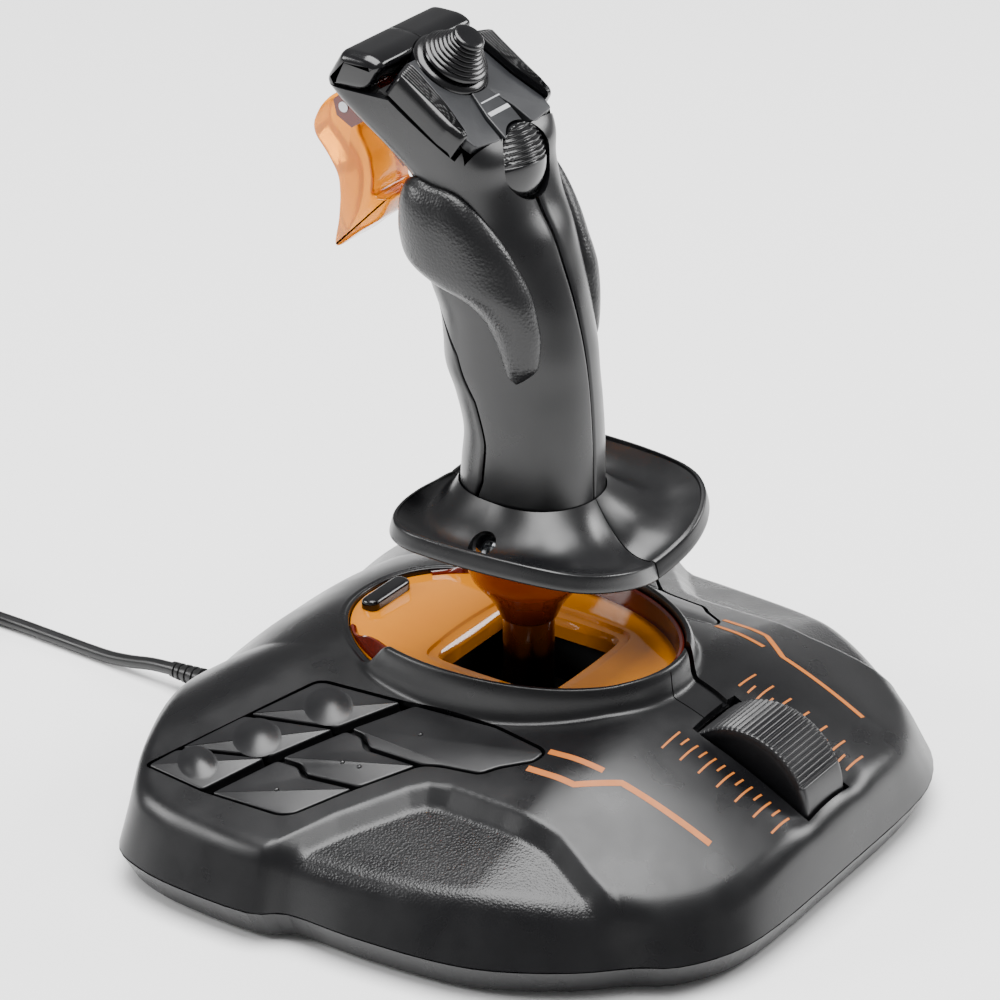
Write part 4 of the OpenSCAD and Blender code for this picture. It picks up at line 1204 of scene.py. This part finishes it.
@dataclass
class Grip:
    """Hollow column of the grip: two side shells, the front spine, and a pad on each side.

    Each level's outline is |x / w|^n + |y / b|^n = 1 about its own middle, with the levels joined
    by a smooth line through the rows.
    """

    rows: tuple[tuple[float, float, float, float, float], ...] = (
        (96, -21.8, 19.4, 17.6, 2.2), (106, -21.7, 18.6, 17.4, 2.2), (116, -21.4, 17.8, 17.3, 2.2),
        (126, -20.8, 20.6, 17.2, 2.2), (134, -20, 24, 17.4, 2.2), (142, -18.8, 24.2, 17.6, 2.3),
        (150, -17, 25, 18, 2.3), (158, -14.7, 27.6, 18.6, 2.4), (166, -11.8, 29.6, 19.2, 2.5),
        (174, -8.6, 30, 19.6, 2.6), (182, -4, 29, 20, 2.8), (190, -0.6, 29.4, 20.8, 3.2),
        (197, 0.8, 36, 21.8, 4), (203, 5, 42.4, 22.6, 5), (208, 12.8, 47.8, 23, 6),
        (212, 19.2, 51.5, 23, 7),
    )
    spine: tuple[tuple[float, float], ...] = (
        (96, 112), (104, 104), (116, 103), (128, 106), (140, 116), (146, 128), (152, 142), (158, 168),
        (160, 179.3), (220, 179.3),
    )
    pad: tuple[tuple[float, float, float, float], ...] = (
        (136.5, 66.5, 68.5, 0.3), (138, 60, 73, 0.9), (141, 50, 76, 2), (145, 45.5, 78, 2.8),
        (150, 41.5, 80.5, 3.6), (155, 40, 85, 4.4), (160, 38.5, 98, 5.2), (163.5, 39, 122, 5.9),
        (168, 42, 148, 6.4), (174, 47, 156, 6.4), (180, 54, 155, 6), (185, 65, 150, 4.8),
        (188.5, 79, 138, 3), (190.3, 96, 120, 1.1), (190.9, 104, 112, 0.3),
    )
    wall: float = 2.4

    @staticmethod
    def point(rows: Array, degrees: Array, grow: Array | float) -> Array:
        """Points on levels at angles from the back, 90 on the left, moved out by grow.

        Args:
            rows: Height, rear, front, half width and squareness, a row a level.
            degrees: Angles, a row a level or one row for all.
            grow: Distance outside the outline.

        Returns:
            Levels by angles by 3.
        """
        z, rear, front, half, square = (rows[:, i : i + 1] for i in range(5))
        s, c = np.sin(np.radians(degrees)), np.cos(np.radians(degrees))
        e = 2 / square
        b = (front - rear) / 2 + grow
        x = -(half + grow) * np.sign(s) * np.abs(s) ** e
        y = (front + rear) / 2 - b * np.sign(c) * np.abs(c) ** e
        return np.stack([x, y, z + 0 * x], -1)

    def levels(self, low: float, high: float, count: int) -> Array:
        """Smooth rows between two heights."""
        line = smooth_curve(np.array(self.rows, float), 12)
        z = np.linspace(low, high, count)
        return np.column_stack([z] + [np.interp(z, line[:, 0], line[:, i]) for i in range(1, 5)])

    def skin(self, rows: Array, first: Array, last: Array, count: int) -> Surface:
        """A bent wall between two angles on every level, its long edges eased by 0.4 mm."""
        t = np.concatenate(
            [[0, 0.004, 0.012], np.linspace(0.025, 0.975, count), [0.988, 0.996, 1]]
        )[None, :]
        degrees = first[:, None] + (last - first)[:, None] * t
        ends = np.minimum(t, 1 - t) * 60
        ease = -0.4 * (1 - np.clip(ends / 0.8, 0, 1)) ** 2
        outer = self.point(rows, degrees, ease * np.ones_like(degrees))
        inner = self.point(rows, degrees[:, ::-4], -self.wall)
        return loft(np.concatenate([outer, inner], 1))

    def tools(self) -> list[Surface]:
        """What is cut from the shells: room for the head, the thumb button and the front screw."""
        return [
            block(Head.slope, (-20.6, 20.6), (-6, 32), (-9, 31)),
            block(Head.slope, (-30, 30), (-0.2, 29.4), (-5.6, 31)),
            bar(Head.thumb, 10.6, (-14, 26)),
            bar(self.screw_axis(), 3.0, (-2, 26), 48),
        ]

    @staticmethod
    def screw_axis() -> Array:
        """Axis of the screw in the front of the column, running back and inwards."""
        s, c = math.sin(math.radians(20)), math.cos(math.radians(20))
        return axes((-10.5, 30, 119), (c, s, 0), (0, 0, 1), (s, -c, 0))

    def build(self) -> None:
        """Make the shells, the spine, the pads and the screw."""
        rows = self.levels(96, 212, 150)
        spine = np.interp(rows[:, 0], *zip(*self.spine))
        left = self.skin(rows, np.full(len(rows), 0.5), spine - 0.8, 88)
        for side in Side:
            shell = make_piece(
                f"grip_shell_{side.value}_moulding", side.of(left), GRIP_ABS, "grip", 34
            )
            cut(shell, self.tools(), 34)
            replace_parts(shell, f"grip_{side.value}_shell")
        low = self.levels(96, 152, 80)
        a = np.interp(low[:, 0], *zip(*self.spine)) + 1.6
        front = make_piece(
            "front_spine", self.skin(low, a, 360 - a, 60), GRIP_ABS, "grip", 34
        )
        cut(front, [self.tools()[-1]], 34)
        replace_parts(front, "grip_spine")
        knots = smooth_curve(np.array(self.pad, float), 9)
        line = smooth_curve(np.array(self.rows, float), 12)
        body = np.column_stack(
            [knots[:, 0]] + [np.interp(knots[:, 0], line[:, 0], line[:, i]) for i in range(1, 5)]
        )
        t = (1 - np.cos(np.linspace(0, math.pi, 61)))[None, :] / 2
        degrees = knots[:, 1:2] + (knots[:, 2:3] - knots[:, 1:2]) * t
        thick = 0.3 + np.maximum(knots[:, 3:4], 0) * np.sin(np.pi * t) ** 0.6
        pad = loft(
            np.concatenate([self.point(body, degrees, thick), self.point(body, degrees[:, ::-1], -0.2)], 1)
        )
        for side, node in ((Side.LEFT, "thumb_rest"), (Side.RIGHT, "palm_rest")):
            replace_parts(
                make_piece(f"{node}_pad", side.of(pad), PAD_ELASTOMER, "grip", 60), node
            )
        screw = screw_head(2.7, 2.0, 1.2).placed(
            self.screw_axis() @ axes((0, 0, 18.4), (1, 0, 0), (0, -1, 0), (0, 0, -1))
        )
        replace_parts(make_piece("column_screw", screw, ZINC_STEEL, "grip", 30), "grip_screws")


class Head:
    """Top of the grip: two glossy caps, the sloping plate, the hat, the thumb button and two side
    buttons."""

    s: float = math.sin(math.radians(33.4))
    c: float = math.cos(math.radians(33.4))
    slope: Array = axes((0, 30.5, 219.5), (-1, 0, 0), (0, -c, -s), (0, -s, c))
    ts: float = math.sin(math.radians(78))
    tc: float = math.cos(math.radians(78))
    thumb: Array = axes((0, 2.4, 193.6), (1, 0, 0), (0, tc, ts), (0, -ts, tc))
    hat: Array = slope @ axes((0, 6.6, 0), (1, 0, 0), (0, 1, 0), (0, 0, 1))
    profile: tuple[tuple[float, float], ...] = (
        (50.6, 212.4), (45.8, 221.8), (44, 222.4), (36, 222.2), (32.2, 220), (36.2, 213.4), (40, 212.4),
    )

    def cap(self) -> Surface:
        """Left cap: the profile across the head, its front bowed forwards towards the middle by
        4.6 (1 - (x / 23)^2) at the bottom edge, its outer corner rounded by shrinking the last sections."""
        shape = rounded(self.profile, 2.4, 7)
        loops = []
        stations = [(0.1, 0.35), (0.3, 0.05), (0.6, 0.0)] + [(x, 0.0) for x in np.linspace(2, 18.5, 12)]
        stations += [
            (22.7 - 3.4 * (1 - math.sin(q)), 3.0 * (1 - math.cos(q)))
            for q in np.linspace(0, math.pi / 2 * 0.95, 9)
        ]
        for x, shrink in stations:
            p = inset(shape, shrink)
            p[:, 1] = 212.4 + (p[:, 1] - p[:, 1].min()) * (10 - shrink) / np.ptp(p[:, 1])
            front = np.clip((p[:, 0] - 40) / 10, 0, 1) * np.clip((222.4 - p[:, 1]) / 10, 0, 1)
            bow = 4.6 * (1 - (x / 23) ** 2) * front
            loops.append(np.column_stack([np.full(len(p), -x), p[:, 0] + bow, p[:, 1]]))
        return loft(np.array(loops))

    def plate(self) -> list[tuple[str, Surface, Finish]]:
        """Sloping plate in three strips; the two ink bars on the middle one are made in build."""
        wing = [
            (2.4, 0.6), (14.2, 0.6), (14.6, 6.4), (15.8, 16.9), (18.5, 27.4), (17.8, 31), (9.2, 32.4),
            (7.5, 32), (6.6, 25.5), (3.4, 17)
        ]
        left = slab(rounded(wing, 0.8, 5), eased(-3.0, 0.0, 0.0, 0.35, 4)).placed(self.slope)
        right = left.mirrored()
        strip = slab(
            rounded(
                [(-2.9, 15), (3.0, 15), (6.1, 25.4), (7.1, 33.2), (3, 36), (-3, 36), (-4.6, 25.4)], 0.6, 5
            ),
            eased(-3.0, 0.75, 0.0, 0.35, 4)
        ).placed(self.slope)
        return [
            ("plate_left", left, PLATE_ABS), ("plate_right", right, PLATE_ABS),
            ("plate_middle", strip, PLATE_ABS)
        ]

    def hat_top(self) -> Surface:
        """Ribbed cone of the hat: radius along the cone less 0.62 (1 - |cos|^0.7) between ribs, over a
        smooth skirt, with its stem below."""
        knots = np.array([[9.5, 2.5], [9.4, 3.3], [8.2, 4.6], [6.6, 6.6], [5.3, 8.4], [4.6, 10.2]])
        z = np.linspace(3.4, 10.3, 150)
        cone = np.interp(z, knots[:, 1], knots[:, 0])
        ribs = 0.62 * (1 - np.abs(np.cos(math.pi * (z - 3.4) / 0.98)) ** 0.7)
        body = np.column_stack([cone - ribs, z])
        end = np.array([[4.55, 10.4], [4.5, 10.8], [4.1, 11.1], [3.4, 11.25], [2, 11.3], [0.02, 11.3]])
        under = np.array([[0.02, -5.6], [2.9, -5.6], [3, -5.4], [3, 2.5], [9.3, 2.5], [9.5, 2.7]])
        return turned(np.vstack([under, body, end]), 128)

    def thumb_top(self) -> Surface:
        """Thumb button: a shallow dome z = sqrt(14.6^2 - r^2) - 9.6 cut by straight ribs across its
        upper part."""
        q = np.concatenate([np.linspace(1, 0.05, 60), [0.01]])[:, None]
        a = np.linspace(0, 2 * math.pi, 160, endpoint=False)[None, :]
        x, y = 10.1 * q * np.cos(a), 10.1 * q * np.sin(a)
        dome = np.sqrt(14.6**2 - (10.1 * q) ** 2) - 9.6
        across = 0.94 * y + 0.05 * x
        ribs = 0.6 * (
            0.5 + 0.5 * np.cos(2 * math.pi * across / 1.35)
        ) ** 1.2 * step01((across + 1.0) / 0.5) * step01((1 - q) / 0.03)
        top = np.stack([x, y, dome - ribs], -1)
        wall = [
            np.stack([10.1 * np.cos(a[0]), 10.1 * np.sin(a[0]), np.full(160, z)], -1)
            for z in (-5.0, 0.6)
        ]
        return loft(np.concatenate([np.array(wall), top])).placed(self.thumb)

    def side_button(self) -> Surface:
        """Side button: a long wedge over the shoulder of the head, with a flat outer side and ribs on
        its inner top that fan out towards the front.

        Sections lie across it (u) and follow each other along it (v); ribs are cosines of u.
        """
        v = np.concatenate([[0, 0.012, 0.03], np.linspace(0.06, 0.94, 56), [0.97, 0.988, 1]])
        inner = np.interp(v, [0, 0.2, 0.6, 1], [14.9, 15.0, 16.3, 19.2])
        outer = np.interp(v, [0, 0.06, 0.8, 1], [20.6, 22.0, 22.2, 21.2])
        edge = np.interp(v, [0, 0.06, 1], [0.84, 0.86, 0.62])
        y = 1.0 + 27.0 * v
        u = np.linspace(0, 1, 73)[None, :]
        ends = np.interp(
            v, [0, 0.012, 0.03, 0.06, 0.94, 0.97, 0.988, 1], [1.3, 0.7, 0.3, 0.0, 0.0, 0.3, 0.7, 1.3]
        )[:, None]
        fade = (step01((v - 0.05) / 0.04) * step01((0.95 - v) / 0.05))[:, None]
        ribs = 0.5 * (0.5 - 0.5 * np.cos(2 * math.pi * 6 * np.clip(u / edge[:, None], 0, 1))) * fade
        z = 2.1 - ribs - ends - 1.1 * np.clip((u - edge[:, None]) / (1 - edge[:, None]), 0, 1) ** 1.6
        x = inner[:, None] + (outer - inner)[:, None] * u
        slant = 1.6 * (1 - v)[:, None] * u
        top = np.stack([x, y[:, None] + slant, z], -1)
        drop = np.array([0.6, 2.0, 4.0, 5.6])[None, :]
        side_x = outer[:, None] + 0.25 * np.sqrt(drop)
        low = np.stack([side_x, y[:, None] + slant[:, -1:] + 0 * side_x, z[:, -1:] - drop], -1)
        back = np.stack([inner[:, None] + 0 * y[:, None], y[:, None], np.full((len(v), 1), -4.2)], -1)
        return loft(np.concatenate([top, low, back], 1)).placed(self.slope)

    def build(self) -> None:
        """Make the head's pieces."""
        for side in Side:
            cap = make_piece(
                f"cap_half_{side.value}", side.of(self.cap()), GLOSS_ABS, "grip", 32
            )
            cut(cap, [bar(self.hat, 11.3, (-10, 20), 128)], 32)
            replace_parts(cap, f"head_cap_{side.value}")
            button = side.of(self.side_button())
            piece = make_piece(
                f"side_button_{side.value}", button, GLOSS_ABS, f"head_button_{side.value}",
                50
            )
            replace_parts(piece, f"head_button_{side.value}")
        ring = make_piece("hat_collar", self.collar(), GLOSS_ABS, "grip", 40)
        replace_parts(ring, "hat_plate")
        for name, surface, finish in self.plate():
            piece = make_piece(name, surface, finish, "grip", 32)
            cut(piece, [bar(self.thumb, 10.7, (-14, 26)), bar(self.hat, 11.15, (-10, 20), 120)], 32)
        bars = [
            slab(rounded(rect(x, y), 0.1, 3), [(0.6, 0), (0.8, 0)])
            for x, y in (((-4.6, 3.9), (20.75, 21.15)), ((-4.2, 5.0), (24.3, 25.6)))
        ]
        make_piece(
            "plate_bars", joined([b.placed(self.slope) for b in bars]), GREY_INK, "grip"
        )
        hat = make_piece("hat_top", self.hat_top().placed(self.hat), GLOSS_ABS, "hat", 50)
        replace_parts(hat, "hat_cap")
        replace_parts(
            make_piece("thumb_dome", self.thumb_top(), GLOSS_ABS, "thumb_button", 50),
            "thumb_button"
        )

    def collar(self) -> Surface:
        """Low domed ring round the foot of the hat."""
        ring = np.array(
            [
                [6, -3], [11, -3], [11.05, -0.2], [10.8, 0.5], [10.2, 1.0], [9.0, 1.5], [7.4, 1.8],
                [6.2, 1.9], [6, 1.5]
            ]
        )
        return spun(ring).placed(self.hat)


@dataclass
class Trigger:
    """Clear trigger, hollow behind: a C-shaped moulding with a bevelled face."""

    width: float = 18.0
    profile: tuple[tuple[float, float], ...] = (
        (49.4, 201), (51, 204.4), (54.5, 205.2), (59.3, 202.4), (62.9, 198.7), (65.5, 193.4), (64.9, 189.9),
        (60.5, 184.9), (57.2, 179.7), (56.8, 173.8), (57.5, 166.3), (59.1, 159.3), (58.1, 157.8),
        (51.4, 163.6), (43, 169.8), (39.5, 177), (45.6, 176.1), (44.8, 181.3), (46, 188.8), (50, 195.5),
    )

    def build(self) -> None:
        """Make the blade from sections across its width that shrink towards both sides."""
        shape = rounded(self.profile, 2.2, 5)
        h = self.width / 2
        stations = [
            (-h, 1.1), (-h + 0.25, 0.55), (-h + 0.7, 0.2), (-h + 1.3, 0.0), (-h / 2, 0.0), (0, 0.0),
            (h / 2, 0.0), (h - 1.3, 0.0), (h - 0.7, 0.2), (h - 0.25, 0.55), (h, 1.1)
        ]
        loops = [np.column_stack([np.full(len(shape), x), *inset(shape, i).T]) for x, i in stations]
        # The blade's colour is painted brighter as painted backlight.
        blade = make_piece("trigger_blade", loft(np.array(loops)), AMBER_PC_PAINTED_BACKLIGHT, "trigger", 40)
        cut(blade, [bar(axes((0, 52.5, 201.5), (0, 1, 0), (0, 0, 1), (1, 0, 0)), 1.56, (-20, 20), 48)], 40)
        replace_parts(blade, "trigger")


# ---------------------------------------------------------------- the rest of the scene


class CarriedOver:
    """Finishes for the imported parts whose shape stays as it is."""

    finishes: dict[str, Finish] = {
        "base_tray": DECK_ABS, "rubber_feet": FOOT_RUBBER, "base_screws": ZINC_STEEL,
        "ballast_plate": ZINC_STEEL, "gimbal_housing": ACETAL, "pitch_spring": ZINC_STEEL,
        "circuit_board": GREEN_BOARD, "led_ring": GREEN_BOARD, "throttle_axle": ZINC_STEEL,
        "throttle_pot": BLUE_CASE, "button_frame_left": ACETAL, "button_frame_right": ACETAL,
        "button_boards": GREEN_BOARD, "gimbal_ring": ACETAL, "roll_spring": ZINC_STEEL,
        "twist_bushing": ACETAL, "twist_sensor": GREEN_BOARD, "head_frame": ACETAL,
        # The trigger bracket takes the amber resin painted dark red-brown as painted shade.
        "trigger_bracket": AMBER_PC_PAINTED_SHADE, "trigger_pin": ZINC_STEEL, "hat_cross": ZINC_STEEL,
    }

    def build(self) -> None:
        """Assign each node its finish."""
        for name, finish in self.finishes.items():
            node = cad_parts[name]
            node.data.materials.clear()
            node.data.materials.append(finish.build())
            log.info("%s: %s", name, finish.name)


@dataclass
class Studio:
    """Camera, pale floor and soft lights."""

    target: tuple[float, float, float] = (0.0, 0.0, 0.0956)
    distance: float = 1.1186
    back: tuple[float, float, float] = (-0.742, -0.500, 0.447)

    def build(self) -> None:
        """Make the camera, the floor and the lights."""
        scene = bpy.context.scene
        lens = bpy.data.cameras.new("camera")
        lens.sensor_width, lens.lens = 36.0, 145.4
        lens.shift_x, lens.shift_y = -0.0288, -0.009
        lens.clip_start, lens.clip_end = 0.05, 30.0
        camera = bpy.data.objects.new("camera", lens)
        scene.collection.objects.link(camera)
        back = Vector(self.back).normalized()
        camera.location = Vector(self.target) + back * self.distance
        camera.rotation_euler = (-back).to_track_quat("-Z", "Y").to_euler()
        scene.camera = camera

        floor_mesh = bpy.data.meshes.new("floor")
        r = 6.0
        floor_mesh.from_pydata(
            [(-r, -r, -0.0002), (r, -r, -0.0002), (r, r, -0.0002), (-r, r, -0.0002)], [], [(0, 1, 2, 3)]
        )
        floor_mat = bpy.data.materials.new("white paper sweep")
        floor_mat.use_nodes = True
        paper = floor_mat.node_tree.nodes["Principled BSDF"]
        paper.inputs["Base Color"].default_value = (0.93, 0.93, 0.93, 1)
        paper.inputs["Roughness"].default_value = 0.9
        floor_mesh.materials.append(floor_mat)
        floor = bpy.data.objects.new("floor", floor_mesh)
        scene.collection.objects.link(floor)

        world = bpy.data.worlds.new("studio")
        world.use_nodes = True
        world.node_tree.nodes["Background"].inputs["Color"].default_value = (1, 1, 1, 1)
        world.node_tree.nodes["Background"].inputs["Strength"].default_value = 0.35
        scene.world = world
        self.softbox("overhead", (0.0, 0.0, 1.9), (0, 0, 0), 1.6, 110.0)
        self.softbox("right_strip", (1.1, -0.7, 0.75), (0, 0, 0.12), 0.5, 12.0)
        self.softbox("left_strip", (-0.9, 1.1, 0.8), (0, 0, 0.12), 0.5, 12.0)

    def softbox(
        self, name: str, at: Sequence[float], aim: Sequence[float], size: float, power: float
    ) -> None:
        """A square area light.

        Args:
            name: Its name.
            at: Where it stands, in metres.
            aim: What it points at.
            size: Length of its side.
            power: Watts.
        """
        data = bpy.data.lights.new(name, "AREA")
        data.size, data.energy = size, power
        light = bpy.data.objects.new(name, data)
        bpy.context.scene.collection.objects.link(light)
        light.location = at
        light.rotation_euler = (Vector(at) - Vector(aim)).to_track_quat("Z", "Y").to_euler()


def main() -> None:
    """Build every part of the scene in order."""
    logging.basicConfig(level=logging.INFO, format="%(message)s")
    Studio().build()
    Cable().build()
    Deck().build()
    ButtonGroup().build()
    ThrottleWheel().build()
    Stick().build()
    HandRest().build()
    Grip().build()
    Head().build()
    Trigger().build()
    CarriedOver().build()


if __name__ == "__main__":
    main()
